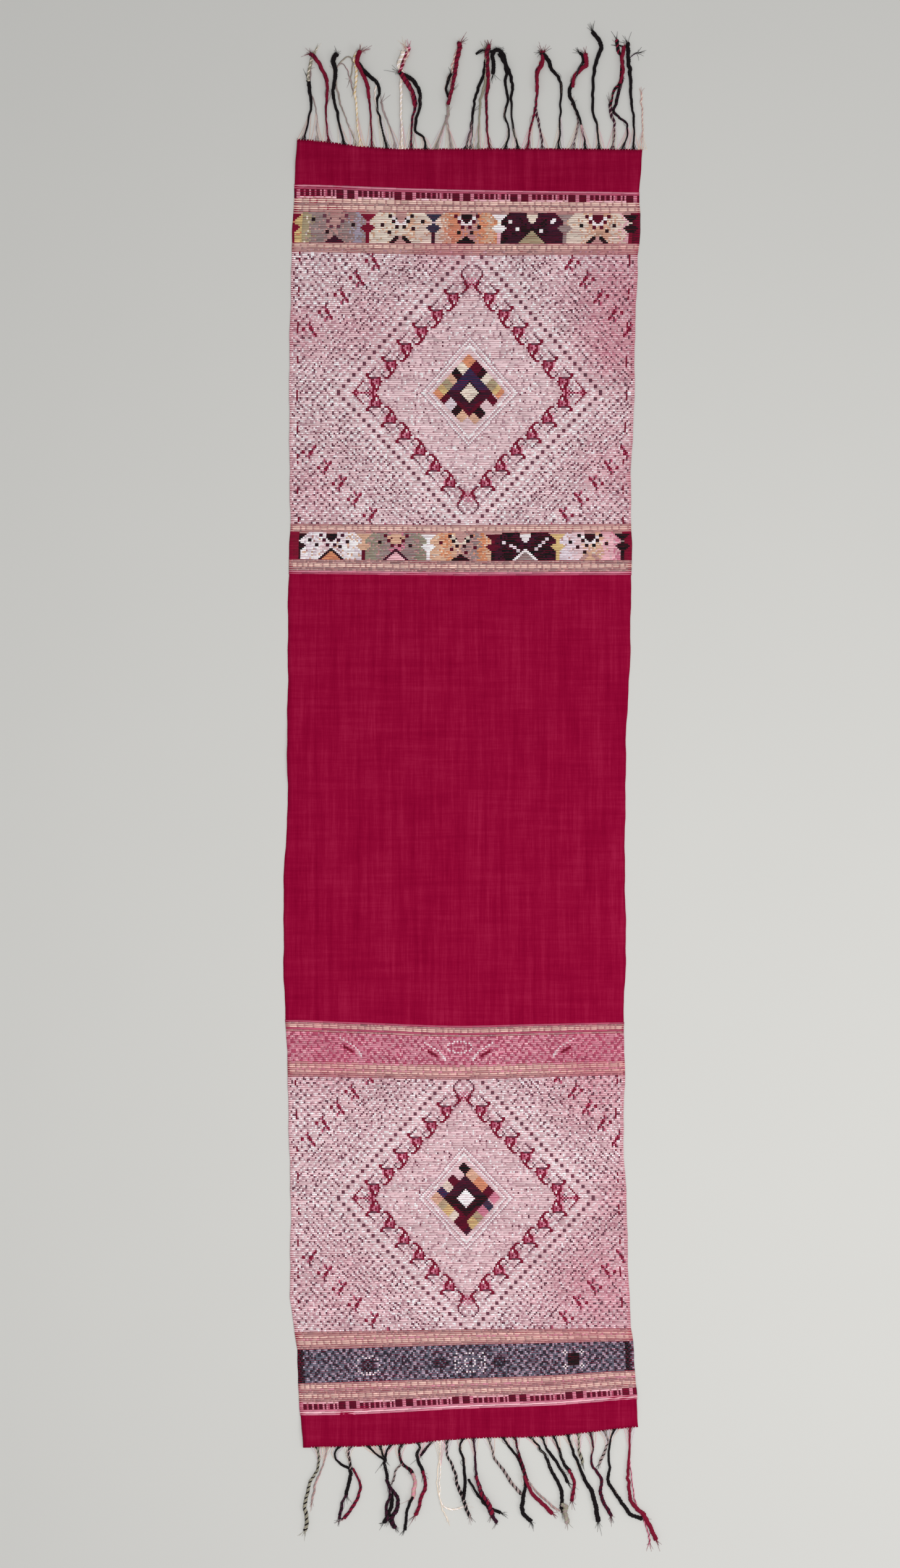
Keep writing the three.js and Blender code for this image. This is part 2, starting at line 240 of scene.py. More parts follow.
class FringeSizes(bpy.types.PropertyGroup):
    """Sizes of the twisted warp ends, in metres."""

    ply_radius: length_property("Ply radius", "Radius of one ply", 0.55 * MM)
    twist_length: length_property("Twist", "Length of one full turn of the plies", 7 * MM)
    fullness: bpy.props.FloatProperty(
        name="Fullness", description="How loosely the strands lie, against their twisted width", default=1.3
    )
    wisp_radius: length_property("Wisp radius", "Radius of a loose filament", 0.2 * MM)


class YarnColours(bpy.types.PropertyGroup):
    """One colour for each yarn."""

    __annotations__ = {
        name: colour_property(name.replace("_", " ").capitalize(), note.capitalize(), value)
        for name, letter, value, note in YARNS
    }


class StageSettings(bpy.types.PropertyGroup):
    """The surface, the light and the camera."""

    frame_width: length_property("Frame width", "Width of the view at the surface", 1.1648)
    camera_height: length_property("Camera height", "Height of the camera over the surface", 4.8)
    floor_colour: colour_property("Surface", "Colour of the pale surface", "#CBCAC6")


def shift_to_part():
    """How far the outline's own millimetres lie from the part's origin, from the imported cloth."""
    low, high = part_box("cloth")
    return low[0] / MM - FURTHEST_LEFT, high[1] / MM - HIGHEST_CORNER


SHIFT_X, SHIFT_Y = shift_to_part()


def along_warp(at, values):
    """A column of the weft lines, read at places on the middle warp."""
    return np.interp(at, PLACES, values)


def smooth_between(p0, p1, p2, p3, w):
    """A Catmull-Rom curve, a share w of the way from p1 to p2."""
    v0 = (p2 - p0) / 2
    v1 = (p3 - p1) / 2
    return (2 * p1 - 2 * p2 + v0 + v1) * w**3 + (3 * p2 - 3 * p1 - 2 * v0 - v1) * w**2 + v0 * w + p1


def bow_of(at, share):
    """How far the weft line through each place bows off straight, on a smooth curve through five points."""
    rises = np.array([along_warp(at, bow) for bow in BOWS])
    last = len(BOWS) - 1
    step = np.clip(np.floor(share * last).astype(int), 0, last - 1)
    steps = (np.maximum(step - 1, 0), step, step + 1, np.minimum(step + 2, last))
    rows = np.arange(len(at))
    return smooth_between(*[rises[s, rows] for s in steps], share * last - step)


def lift_at(x, y):
    """How high the creases lift the cloth, 0 away from them."""
    lift = np.zeros(len(x))
    for mid_x, mid_y, degrees, length, width, height in CREASES:
        turn = math.radians(degrees)
        along = (x - mid_x) * math.cos(turn) + (y - mid_y) * math.sin(turn)
        across = (y - mid_y) * math.cos(turn) - (x - mid_x) * math.sin(turn)
        far = np.hypot(along / length, across / width)
        lift += np.where(far < 1, height * (1 + np.cos(math.pi * np.minimum(far, 1))) / 2, 0)
    return lift


# The small in and out of a hand-woven edge: height and length in millimetres, and how a side shifts it.
SELVAGE_WAVES = ((0.4, 11.0, 1), (0.4, 27.0, 2), (0.15, 4.3, -1))
# The plain middle draws in at its selvages, where no extra weft holds it out: how far in, and how far from
# the middle on, in millimetres.
DRAWN_IN = 2.4
DRAWN_LENGTH = 230


def selvage_waver(at, side):
    """The small in and out of one selvage, in millimetres."""
    return sum(height * np.sin(at / length + shift * side) for height, length, shift in SELVAGE_WAVES)


def cloth_place(share, at):
    """Millimetre x, y and lift from a share of the width and a place on the middle warp."""
    drawn = DRAWN_IN * np.exp(-((np.abs(at) / DRAWN_LENGTH) ** 4))
    left = along_warp(at, LEFT) + selvage_waver(at, 1.0) + drawn
    right = along_warp(at, RIGHT) + selvage_waver(at, 4.0) - drawn
    x = left + (right - left) * share
    y = at + bow_of(at, share)
    return x, y, lift_at(x, y)


def in_part(x, y, z):
    """Points in the part's frame, in metres."""
    return np.column_stack(((x + SHIFT_X) * MM, (y + SHIFT_Y) * MM, z * MM))


def add_node(tree, kind, inputs=(), **settings):
    """Adds a node, with its settings, and its inputs set or linked."""
    node = tree.nodes.new("ShaderNode" + kind)
    for key, value in settings.items():
        setattr(node, key, value)
    for name, value in dict(inputs).items():
        if isinstance(value, bpy.types.NodeSocket):
            tree.links.new(value, node.inputs[name])
        else:
            node.inputs[name].default_value = value
    return node


def new_material(name, roughness, specular):
    """A material, its tree, its shader and where it reads its place."""
    material = bpy.data.materials.new(name)
    material.use_nodes = True
    tree = material.node_tree
    shader = tree.nodes["Principled BSDF"]
    shader.inputs["Roughness"].default_value = roughness
    shader.inputs["Specular IOR Level"].default_value = specular
    return material, tree, shader, add_node(tree, "TexCoord").outputs["Object"]


def join_colour(tree, shader, colour, uneven, **span):
    """Gives the shader a colour that grows lighter and darker with an uneven value."""
    span = {name.replace("_", " ").title(): limit for name, limit in span.items()}
    shade = add_node(tree, "MapRange", {"Value": uneven, **span})
    tint = add_node(tree, "HueSaturation", {"Color": colour, "Value": shade.outputs["Result"]})
    tree.links.new(tint.outputs["Color"], shader.inputs["Base Color"])


def join_relief(tree, shader, height, strength, depth):
    """Gives the shader a fine relief, its depth in millimetres."""
    bump = add_node(tree, "Bump", {"Height": height, "Strength": strength, "Distance": depth * MM})
    tree.links.new(bump.outputs["Normal"], shader.inputs["Normal"])


def wave_scale(pitch):
    """A band wave's scale for one band in every pitch, in millimetres."""
    return math.tau / 20 / (pitch * MM)


def plain_weave_cotton():
    """Hand-woven cotton in plain weave, piece-dyed crimson: dull, slubby, streaked along warp and weft."""
    material, tree, shader, place = new_material("plain-weave cotton, dyed crimson", 1.0, 0.02)
    # The dye took unevenly, in soft clouds three or four fingers wide.
    clouds = add_node(tree, "TexNoise", {"Vector": place, "Scale": 20.0, "Detail": 6.0, "Roughness": 0.6})
    # Each warp differs a little, so the cloth is streaked lengthwise, and slubs run across it. The broadest
    # are 8 or 9 mm wide and 170 to 250 mm long, and the finest are thinner than a thread.
    warp_way = add_node(tree, "Mapping", {"Vector": place, "Scale": (110, 4, 1)}).outputs["Vector"]
    weft_way = add_node(tree, "Mapping", {"Vector": place, "Scale": (6, 120, 1)}).outputs["Vector"]
    many = {"Scale": 1.0, "Detail": 5.0, "Roughness": 0.9}
    streaks = add_node(tree, "TexNoise", {"Vector": warp_way, **many}).outputs["Fac"]
    slubs = add_node(tree, "TexNoise", {"Vector": weft_way, **many}).outputs["Fac"]
    mixed = {"operation": "MULTIPLY_ADD"}
    threads = add_node(tree, "Math", {0: slubs, 1: 0.55, 2: streaks}, **mixed).outputs["Value"]
    uneven = add_node(tree, "Math", {0: clouds.outputs["Fac"], 1: 0.35, 2: threads}, **mixed)
    share = add_node(tree, "MapRange", {"Value": uneven.outputs["Value"], "From Min": 0.62, "From Max": 1.28})
    dye = add_node(tree, "ValToRGB", {"Fac": share.outputs["Result"]})
    dye.color_ramp.elements.new(0.5)
    tones = ((0.1, "#7C0027"), (0.5, "#8C0831"), (0.95, "#A01C42"))
    for stop, (position, tone) in zip(dye.color_ramp.elements, tones):
        stop.position = position
        stop.color = (*hex_colour(tone), 1)
    # Both hems are painted a little darker: painted shade for the light that falls off towards the ends of
    # the cloth.
    sides = add_node(tree, "SeparateXYZ", {"Vector": place})
    from_middle = add_node(tree, "Math", {0: sides.outputs["Y"]}, operation="ABSOLUTE").outputs["Value"]
    painted_hem_shade = {"from_min": 0.74, "from_max": 0.8, "to_min": 1.0, "to_max": 0.93}
    join_colour(tree, shader, dye.outputs["Color"], from_middle, **painted_hem_shade)
    # Threads lie 0.6 mm apart. They are drawn at 1.2 mm, because finer ones don't show from a step away.
    weave = {"Vector": place, "Scale": wave_scale(1.2), "Distortion": 1.2}
    across = add_node(tree, "TexWave", weave, bands_direction="X").outputs["Fac"]
    along = add_node(tree, "TexWave", weave, bands_direction="Y").outputs["Fac"]
    over = add_node(tree, "Math", {0: across, 1: along}, operation="MAXIMUM").outputs["Value"]
    rough = add_node(tree, "Math", {0: over, 1: threads}, operation="ADD").outputs["Value"]
    join_relief(tree, shader, rough, 0.25, 0.3)
    return material


def extra_weft_silk():
    """Untwisted silk, laid in as extra weft: soft sheen, fine filaments, coloured by its own attribute."""
    material, tree, shader, place = new_material("untwisted silk, extra weft", 0.62, 0.12)
    yarn = add_node(tree, "Attribute", attribute_name="yarn_colour").outputs["Color"]
    # Filaments show as streaks 0.4 mm wide and 6 mm long. Age has mottled the colour every 45 mm or so.
    drawn_out = add_node(tree, "Mapping", {"Vector": place, "Scale": (160, 2600, 1)}).outputs["Vector"]
    filaments = add_node(tree, "TexNoise", {"Vector": drawn_out, "Scale": 1.0, "Detail": 2.0}).outputs["Fac"]
    ageing = add_node(tree, "TexNoise", {"Vector": place, "Scale": 22.0, "Detail": 4.0}).outputs["Fac"]
    both = add_node(tree, "Math", {0: filaments, 1: ageing}, operation="ADD").outputs["Value"]
    join_colour(tree, shader, yarn, both, from_min=0.65, from_max=1.35, to_min=0.9, to_max=1.1)
    join_relief(tree, shader, filaments, 0.2, 0.2)
    shader.inputs["Sheen Weight"].default_value = 0.03
    return material


def twisted_yarn():
    """Hand-twisted cotton and silk warp ends: dull, hairy, coloured by its own attribute."""
    material, tree, shader, place = new_material("hand-twisted warp yarn", 0.9, 0.2)
    yarn = add_node(tree, "Attribute", attribute_name="yarn_colour").outputs["Color"]
    # Fibres make it uneven every millimetre, and wear every 17 mm or so.
    fibres = add_node(tree, "TexNoise", {"Vector": place, "Scale": 900.0, "Detail": 3.0}).outputs["Fac"]
    wear = add_node(tree, "TexNoise", {"Vector": place, "Scale": 60.0, "Detail": 3.0}).outputs["Fac"]
    both = add_node(tree, "Math", {0: fibres, 1: wear}, operation="ADD").outputs["Value"]
    join_colour(tree, shader, yarn, both, from_min=0.6, from_max=1.4, to_min=0.7, to_max=1.35)
    join_relief(tree, shader, fibres, 0.5, 0.3)
    return material


def pale_surface(colour):
    """Matt paint on a smooth board, with a faint unevenness."""
    material, tree, shader, place = new_material("matt painted board", 0.95, 0.1)
    mottle = add_node(tree, "TexNoise", {"Vector": place, "Scale": 5.0, "Detail": 4.0}).outputs["Fac"]
    join_colour(tree, shader, (*colour, 1), mottle, to_min=0.99, to_max=1.01)
    return material


def material_once(maker):
    """The material that a maker gives, made the first time that it is asked for."""
    made = material_once.made
    if maker not in made:
        made[maker] = maker()
    return made[maker]


material_once.made = {}


def yarn_palette():
    """Linear colours by chart letter, from the yarn settings."""
    chosen = bpy.context.scene.cloth_yarns
    return {letter: np.array(getattr(chosen, name)) for name, letter, value, note in YARNS}


def link_piece(name, mesh, material):
    """Adds a piece to the scene, riding on the one body."""
    piece = bpy.data.objects.new(name, mesh)
    bpy.context.scene.collection.objects.link(piece)
    mesh.materials.clear()
    mesh.materials.append(material)
    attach(piece, "root")
    return piece


def planar_map(mesh):
    """A map that looks straight down on the piece and fills the square."""
    spots = np.empty(len(mesh.vertices) * 3)
    mesh.vertices.foreach_get("co", spots)
    flat = spots.reshape(-1, 3)[:, :2]
    low = flat.min(axis=0)
    span = flat.max(axis=0) - low
    corners = np.empty(len(mesh.loops), dtype=np.int32)
    mesh.loops.foreach_get("vertex_index", corners)
    layer = mesh.uv_layers.new(name="OFBake")
    layer.data.foreach_set("uv", ((flat - low) / span)[corners].ravel())


def float_shape():
    """One float of weft: a ridge with slanted ends. Its back ends at 1 on x, and it meets the ground at 2."""
    bm = bmesh.new()
    bmesh.ops.create_cube(bm, size=1)
    bmesh.ops.translate(bm, vec=(0, 0, 0.5), verts=bm.verts)
    back = [v for v in bm.verts if v.co.z > 0.5]
    foot = [v for v in bm.verts if v.co.z < 0.5]
    bmesh.ops.scale(bm, vec=(2, 0, 1), verts=back)
    bmesh.ops.scale(bm, vec=(4, 1, 1), verts=foot)
    bmesh.ops.remove_doubles(bm, verts=bm.verts, dist=0.01)
    bmesh.ops.recalc_face_normals(bm, faces=bm.faces)
    bm.normal_update()
    bm.verts.index_update()
    points = np.array([v.co[:] for v in bm.verts])
    faces = [[v.index for v in f.verts] for f in bm.faces]
    rounded = [f.normal.z > -0.9 for f in bm.faces]
    bm.free()
    return points, faces, rounded


def copies_mesh(name, shape, copies, places, colours):
    """Many copies of a small shape as one mesh, from each copy's own points and one colour a copy."""
    points, faces, rounded = shape
    sizes = np.array([len(f) for f in faces], dtype=np.int32)
    corners = np.concatenate([np.array(f, dtype=np.int32) for f in faces])
    count = len(points)
    loops = (corners[None, :] + (np.arange(copies) * count)[:, None]).ravel().astype(np.int32)
    totals = np.tile(sizes, copies)
    starts = np.concatenate(([0], np.cumsum(totals)[:-1])).astype(np.int32)
    mesh = bpy.data.meshes.new(name)
    mesh.vertices.add(copies * count)
    mesh.vertices.foreach_set("co", places.astype(np.float32).ravel())
    mesh.loops.add(len(loops))
    mesh.loops.foreach_set("vertex_index", loops)
    mesh.polygons.add(len(totals))
    mesh.polygons.foreach_set("loop_start", starts)
    mesh.polygons.foreach_set("loop_total", totals)
    mesh.update(calc_edges=True)
    mesh.validate()
    shade = np.ones((copies * count, 4), dtype=np.float32)
    shade[:, :3] = np.repeat(colours, count, axis=0)
    attribute = mesh.color_attributes.new("yarn_colour", "FLOAT_COLOR", "POINT")
    attribute.data.foreach_set("color", shade.ravel())
    mesh.polygons.foreach_set("use_smooth", np.tile(rounded, copies))
    return mesh


def bleed_at(x, y):
    """How strongly the ground's dye has stained the weft at each point."""
    strength = np.zeros(len(x))
    for mid_x, mid_y, radius, amount in DYE_BLEEDS:
        far = np.hypot(x - mid_x, y - mid_y) / radius
        strength += amount * np.exp(-(far**2))
    return np.clip(strength, 0, 0.75)


def runs_of(chart, longest):
    """Floats from a chart: row, first column, end column and letter."""
    found = []
    for r, row in enumerate(chart):
        start = 0
        for c in range(1, len(row) + 1):
            ended = c == len(row) or row[c] != row[start]
            tied = (c + 2 * r) % longest == 0 and c - start > 1
            if ended or tied:
                if row[start] != BARE:
                    found.append((r, start, c, row[start]))
                start = c
    return found


# How far a float reaches past its cells, in cells, and past the selvage, as a share of the cloth's width.
END_REACH = 0.12
SELVAGE_REACH = 0.0015
# How deep a float is pressed into the ground, and how much lower it turns round the selvage, in millimetres.
PRESSED_IN = 0.04
SELVAGE_DIP = 0.1
# The outermost warps are doubled: how far in from the edge, as a share of the width, and how much they rise.
DOUBLED_SHARE = 0.006
DOUBLED_RISE = 0.03
# How far the ground's underside stays off the surface that it lies on, in millimetres.
OFF_SURFACE = 0.05
# Yarns darker than this, as a linear tone, don't show the bled dye.
BLEEDS_OVER = 0.16
# How uneven the handwork is, as shares: a float's place, breadth, height and tone, and its row's tone.
UNEVEN_PLACE = 0.03
UNEVEN_BREADTH = 0.05
UNEVEN_HEIGHT = 0.12
UNEVEN_TONE = 0.1
UNEVEN_ROW_TONE = 0.04


def weave_band(name, chart, head_side, foot_side, middle=None, longest=5, height=1.0, seed=SEED):
    """Lays a chart's floats on the ground between two weft lines, as one piece."""
    sizes = bpy.context.scene.cloth_sizes
    palette = yarn_palette()
    random = np.random.default_rng(seed)
    rows, columns = len(chart), len(chart[0])
    row, first, after, letters = zip(*runs_of(chart, longest))
    row = np.array(row)
    count = len(row)
    start = (np.array(first) - END_REACH) / columns
    end = (np.array(after) + END_REACH) / columns
    start = np.where(start < 0, -SELVAGE_REACH, start)
    end = np.where(end > 1, 1 + SELVAGE_REACH, end)
    # The weaver beat some rows closer than others, so a middle row may have its own place.
    knots = [(0, head_side), (rows, foot_side)]
    if middle:
        knots.insert(1, middle)
    row_edges = np.interp(np.arange(rows + 1), *zip(*knots))
    pitch = (row_edges[:-1] - row_edges[1:])[row]
    at = (row_edges[:-1][row] + row_edges[1:][row]) / 2 + random.normal(0, UNEVEN_PLACE, count) * pitch
    wide = along_warp(at, RIGHT - LEFT)
    taper = np.minimum(sizes.end_taper / MM / wide, (end - start) * 0.3)
    shape = float_shape()
    points = shape[0]
    ends = (np.abs(points[:, 0]) > 1.5)[None, :]
    left = (points[:, 0] < 0)[None, :]
    from_end = np.where(ends, 0, taper[:, None])
    share = np.where(left, start[:, None] + from_end, end[:, None] - from_end)
    broad = sizes.float_cover * (1 + random.normal(0, UNEVEN_BREADTH, count))
    place = at[:, None] + points[None, :, 1] * (broad * pitch)[:, None]
    x, y, lift = cloth_place(share.ravel(), place.ravel())
    tall = sizes.float_height / MM * height * (1 + random.normal(0, UNEVEN_HEIGHT, count))
    tall = tall[:, None] * points[None, :, 2]
    over = np.maximum(np.maximum(-share, share - 1), 0).ravel() / SELVAGE_REACH
    z = lift + sizes.ground_thickness / MM - PRESSED_IN + tall.ravel() - over * SELVAGE_DIP
    colours = np.array([palette[letter] for letter in letters])
    mid_x, mid_y, _ = cloth_place((start + end) / 2, at)
    bleed = bleed_at(mid_x, mid_y)[:, None] * (colours.mean(axis=1) > BLEEDS_OVER)[:, None]
    colours = colours * (1 - bleed) + np.array(hex_colour(BLED_COLOUR)) * bleed
    # Each weft row came from its own length of yarn, and each float caught the dye a little differently.
    row_tone = 1 + random.normal(0, UNEVEN_ROW_TONE, rows)[row]
    float_tone = 1 + random.normal(0, UNEVEN_TONE, count)
    colours = np.clip(colours * (row_tone * float_tone)[:, None], 0, 1)
    mesh = copies_mesh(name, shape, count, in_part(x, y, z), colours)
    planar_map(mesh)
    return link_piece(name, mesh, material_once(extra_weft_silk))


def unfold_across(half):
    """A chart that is the same on both sides, from its left half and middle column."""
    return [row + row[-2::-1] for row in half.split()]


def unfold(quarter):
    """A chart that mirrors both ways, from its upper left quarter with the middle column and row."""
    rows = unfold_across(quarter)
    return rows + rows[-2::-1]


# Charts. Each is rows of letters from head to foot, one letter a cell. A letter names a yarn, and a dot is
# bare ground.

# One unit of the hooked diamond's upper left side: a dark lozenge, its outer hook above, its inner curl
# below.
HOOK_UNIT = """
.....q.....
....q......
...q.......
kkq........
kk.........
.kkqqqqkk..
..pkkpssk..
..pkppkskk.
..pkkpssk..
...kkk.pk..
..p.kkWk...
.q..wkkk...
q....kk....
.q..kk.....
..kkk......
""".split()
HOOK_UNIT_MIDDLE = (5, 7)
HOOK_UNIT_PLACES = [(-56 + 9 * k, 6 + 9 * k) for k in range(6)]

# The point at each side of the hooked diamond, its head half: an arrow head on a dashed stem.
SIDE_POINT = """
......k.......
.....k........
....k.........
...k..........
..k........pk.
.kkp.......pkp
kkpkpkpkpkpkkp
""".split()
SIDE_POINT += SIDE_POINT[-2::-1]
SIDE_POINT_MIDDLE = (0, 6)

# The point at the head and foot of the hooked diamond: two horns over a bar with two feet.
END_POINT = unfold_across("""
.....qq..
....q....
...q.....
..q......
..q......
..k......
..kq.....
...k..p.p
....kp.p.
...qkqp.p
....kkpkp
.....kkp.
.....kk.p
....kk...
...kq....
..qq.....
""")
END_POINT_MIDDLE = (8, 8)

# The short dark stroke and pale patch that fill each corner's row.
CORNER_STROKE = """
......wWwW....k
......WwwWw..sq
......wwWww..s.
....k.WwwwW....
...sq..www.....
....sk.w.......
kk..kks........
ks...kk........
......qs.......
......pkk......
.......pk......
""".split()
CORNER_STROKE_MIDDLE = (6, 6)
CORNER_PLACES = [(-57 - 9 * k, 70 - 9 * k) for k in range(5)]


def cell_offsets(rows, columns, middle):
    """Across and headward offsets of each cell from a middle cell."""
    across = np.arange(columns)[None, :] - middle[0] + np.zeros((rows, 1), dtype=int)
    headward = middle[1] - np.arange(rows)[:, None] + np.zeros((1, columns), dtype=int)
    return across, headward


def stamp(cells, chart, middle, place, chart_middle, flip_across=False, flip_headward=False):
    """Sets a small chart into the cells around a place that is counted from the middle cell."""
    for r, row in enumerate(chart):
        for c, letter in enumerate(row):
            across = place[0] + (c - chart_middle[0])
            headward = place[1] + (chart_middle[1] - r)
            if flip_across:
                across = -across
            if flip_headward:
                headward = -headward
            y = middle[1] - headward
            x = middle[0] + across
            if letter != BARE and 0 <= y < cells.shape[0] and 0 <= x < cells.shape[1]:
                cells[y, x] = letter


def four_ways(cells, chart, middle, places, chart_middle):
    """Stamps a chart at each place in all four quarters."""
    for place in places:
        for flip_across in (False, True):
            for flip_headward in (False, True):
                stamp(cells, chart, middle, place, chart_middle, flip_across, flip_headward)


# The middle medallion is a dark diamond with a border of coloured blocks along its four sides. The rows are
# its head left, head right, foot right and foot left sides, and each gives a block's yarn between the
# diagonal cells where it begins and ends.
UPPER_MEDALLION = (
    "-21 o -16 y -11 v -5 a 0 b 6 c 13 o 21",
    "-13 r -5 b 0 c 6 v 13 y 17 o 21",
    "-14 a -8 b -1 w 7 r 13",
    "-13 r -8 l 0 b 6 a 13",
)
LOWER_MEDALLION = (
    "-21 a -14 n -7 c 0 r 7 w 14 b 21",
    "-13 a -4 o 7 r 14 p 21",
    "-21 m -14 y -6 v 0 p 7 N 13",
    "-21 a -13 v -7 y 0 c 6 r 18",
)
# How far the medallion's dark diamond and its border of blocks reach, in diagonal cells.
DARK_REACH = 13
BLOCK_REACH = 21
# The outline's rings from the inside out, in cells: where each begins, and its yarn.
OUTLINE = ((24.5, "W"), (25.7, "g"), (26.6, "w"), (28, "W"), (29.2, "g"))
OUTLINE_REACH = 30.2


def medallion(cells, across, headward, blocks, light, dark):
    """The middle medallion: pale double outline, coloured blocks, dark diamond and light heart."""
    rising = across + headward
    falling = across - headward
    far = np.maximum(np.abs(rising), np.abs(falling))
    # The outline is a little taller than the blocks inside it.
    ring = np.abs(across) * 1.04 + np.abs(headward) * 0.98
    cells[ring < OUTLINE[0][0]] = "w"
    for inner, letter in OUTLINE:
        cells[(ring >= inner) & (ring < OUTLINE_REACH)] = letter
    sides = ((-falling, rising), (rising, falling), (falling, rising), (-rising, falling))
    for (outward, along), row in zip(sides, blocks):
        words = row.split()
        border = (outward > DARK_REACH) & (outward <= BLOCK_REACH)
        for begins, letter, ends in zip(words[0::2], words[1::2], words[2::2]):
            cells[border & (along >= int(begins)) & (along < int(ends))] = letter
    body = far <= DARK_REACH
    cells[body] = dark[0]
    cells[body & (headward > 1)] = dark[1]
    cells[body & (far >= 11) & (headward > 4)] = dark[2]
    cells[body & (far >= 11) & (headward < -4)] = dark[3]
    cells[body & (far == 6)] = "b"
    cells[far <= 5] = light


# The field's zones, in cells from its middle, across and headward together, and the lace's pitch in cells.
PLAIN_REACH = 56
HOOK_BAND = (53, 73)
DOTTED_BAND = (73, 83)
HATCHED_BAND = (99, 121)
LACE_PITCH = 4.5


def field_chart(rows, middle, blocks, light, dark, seed):
    """A whole pattern field: medallion, rings, hooked diamond, dotted diamond, hatching, strokes and lace."""
    columns = FIELD_COLUMNS
    random = np.random.default_rng(seed)
    across, headward = cell_offsets(rows, columns, middle)
    aside = np.abs(across)
    up = np.abs(headward)
    far = aside + up
    worn = random.random((rows, columns))
    # The lace is a slanted check of white and dark dots, blurred by wear.
    blur = random.normal(0, 0.8, (rows, columns))
    check = np.cos(math.tau * far / LACE_PITCH) + np.cos(math.tau * (aside - up) / LACE_PITCH) + blur
    # Inside the hooked diamond it is fainter and longer than wide. Hatching runs beside the dotted diamond.
    faint = 0.7 * np.cos(math.tau * aside / 4) * np.cos(math.tau * up / 10.5) + 0.8 * blur
    hatching = 1.1 * np.cos(math.tau * far / 3.5) + blur - 0.15
    hatched = (far >= HATCHED_BAND[0]) & (far < HATCHED_BAND[1])
    wave = np.where(far < PLAIN_REACH, faint, np.where(hatched, hatching, check))
    # The grey cells are partly the ground showing through gaps in the weft and partly painted shade in those
    # gaps.
    cells = np.select([wave > 1.1, wave < -1.6, wave < -0.75], ["W", "q", "g"], "w")
    # The hooked diamond's band is plainer between its hooks.
    band = (far >= HOOK_BAND[0]) & (far <= HOOK_BAND[1])
    cells[band & (cells == "q")] = "g"
    # The dotted diamond: dark dots three cells apart, between two lines of white dots.
    cells[(far >= DOTTED_BAND[0]) & (far <= DOTTED_BAND[1])] = "w"
    step = up % 3
    cells[((step == 0) & ((far == 77) | (far == 78))) | ((step == 1) & ((far == 78) | (far == 79)))] = "q"
    cells[(step != 0) & ((far == 74) | (far == 75)) & (worn < 0.7)] = "W"
    cells[(step != 2) & ((far == 81) | (far == 82)) & (worn < 0.7)] = "W"
    medallion(cells, across, headward, blocks, light, dark)
    four_ways(cells, HOOK_UNIT, middle, HOOK_UNIT_PLACES, HOOK_UNIT_MIDDLE)
    for flip in (False, True):
        stamp(cells, SIDE_POINT, middle, (-69, 0), SIDE_POINT_MIDDLE, flip_across=flip)
        stamp(cells, END_POINT, middle, (0, 60), END_POINT_MIDDLE, flip_headward=flip)
    four_ways(cells, CORNER_STROKE, middle, CORNER_PLACES, CORNER_STROKE_MIDDLE)
    # Short dark ticks run up each selvage, and the outermost floats are pale.
    for column in (4, columns - 5):
        ticked = (np.arange(rows) // 6) % 3 == 0
        cells[ticked & (worn[:, column] < 0.8), column] = "k"
    cells[:, :1] = "w"
    cells[:, -1:] = "w"
    return cells


# Half of the paired-creature motif, from its separator to its middle: b body, x dark dots, o light dots,
# v notch, s separator, z the separator's waist, t the border's tan.
CREATURE_HALF = """
tttttbbbbbbbbbbttt
ssssbbbbbbbxxbbvvv
sssbbbbbbbbxxoovvv
ssbbbbbbbbbbbooxvv
sbbbbbbbbbbbbxxovv
zbbbbbbbbbbbbxxoov
sbbbbbbbbbbbbbbooo
sssbbbbbbbbbbbbxxb
ssssbbbbbbbbbbbxxb
sssbbbbbbbbbbbbbbb
ssbbbbbbbbbbbbbbbb
""".split() + ["sbbbbbbbbbbbbbbbbb"] * 6
# The row where a separator's stem begins, and the column where the first motif does.
STEM_BEGINS = 11
MOTIFS_BEGIN = 5

# What stands at a motif's foot, again as a left half: h the figure, n the cloth under it.
ARMS = ".......h ......hh .....hhn ....hhnn ...hhnnn ..hhnnnn .hhnnnnn".split()
LOW_ARMS = ".....hhn ....hhhn ...hhhnn ..hhhnnn".split()
PEAK = ".......h ......hh ....hhhh ...hhhhh".split()

# Motifs from left to right: body yarns, four columns each, then the dark dots, the light dots and the notch;
# the figure at the foot, its yarn and the yarn under it; the round dots' yarn and places, across and down.
UPPER_MOTIFS = (
    ("veetteeUe", "qtt", PEAK, "mc", "b", ((-12, 3), (10, 6), (-4, 10))),
    ("cccccaccc", "bWt", LOW_ARMS, "bt", "b", ((-10, 6), (-6, 10), (12, 4), (7, 8))),
    ("caoottoao", "rWb", PEAK, "be", "b", ((-4, 10), (3, 10), (7, 7))),
    ("bmmbbbmmm", "mmc", ARMS, "vv", "W", ((-12, 4), (-8, 8), (11, 4), (12, 3), (5, 9))),
    ("cccaaaccx", "rWr", LOW_ARMS, "bt", "b", ((-9, 6), (9, 6), (5, 9))),
)
LOWER_MOTIFS = (
    ("WlWwWlWWl", "mWb", ARMS, "bo", "b", ((-12, 4), (-8, 7), (9, 5), (5, 8))),
    ("GGeepeeGG", "raa", ARMS, "mx", "b", ((-9, 5), (8, 7))),
    ("aaoatteoa", "bct", PEAK, "be", "r", ((-11, 5), (-5, 9), (8, 8), (3, 11))),
    (
        "mbbbbbbbm", "mmW", ARMS, "We", "l",
        ((-12, 5), (-8, 7), (-6, 8), (-4, 10), (8, 7), (10, 5), (12, 3), (6, 9)),
    ),
    ("llwwaaxxp", "bWb", LOW_ARMS, "ta", "b", ((-11, 5), (-7, 8), (-3, 11), (9, 6))),
)
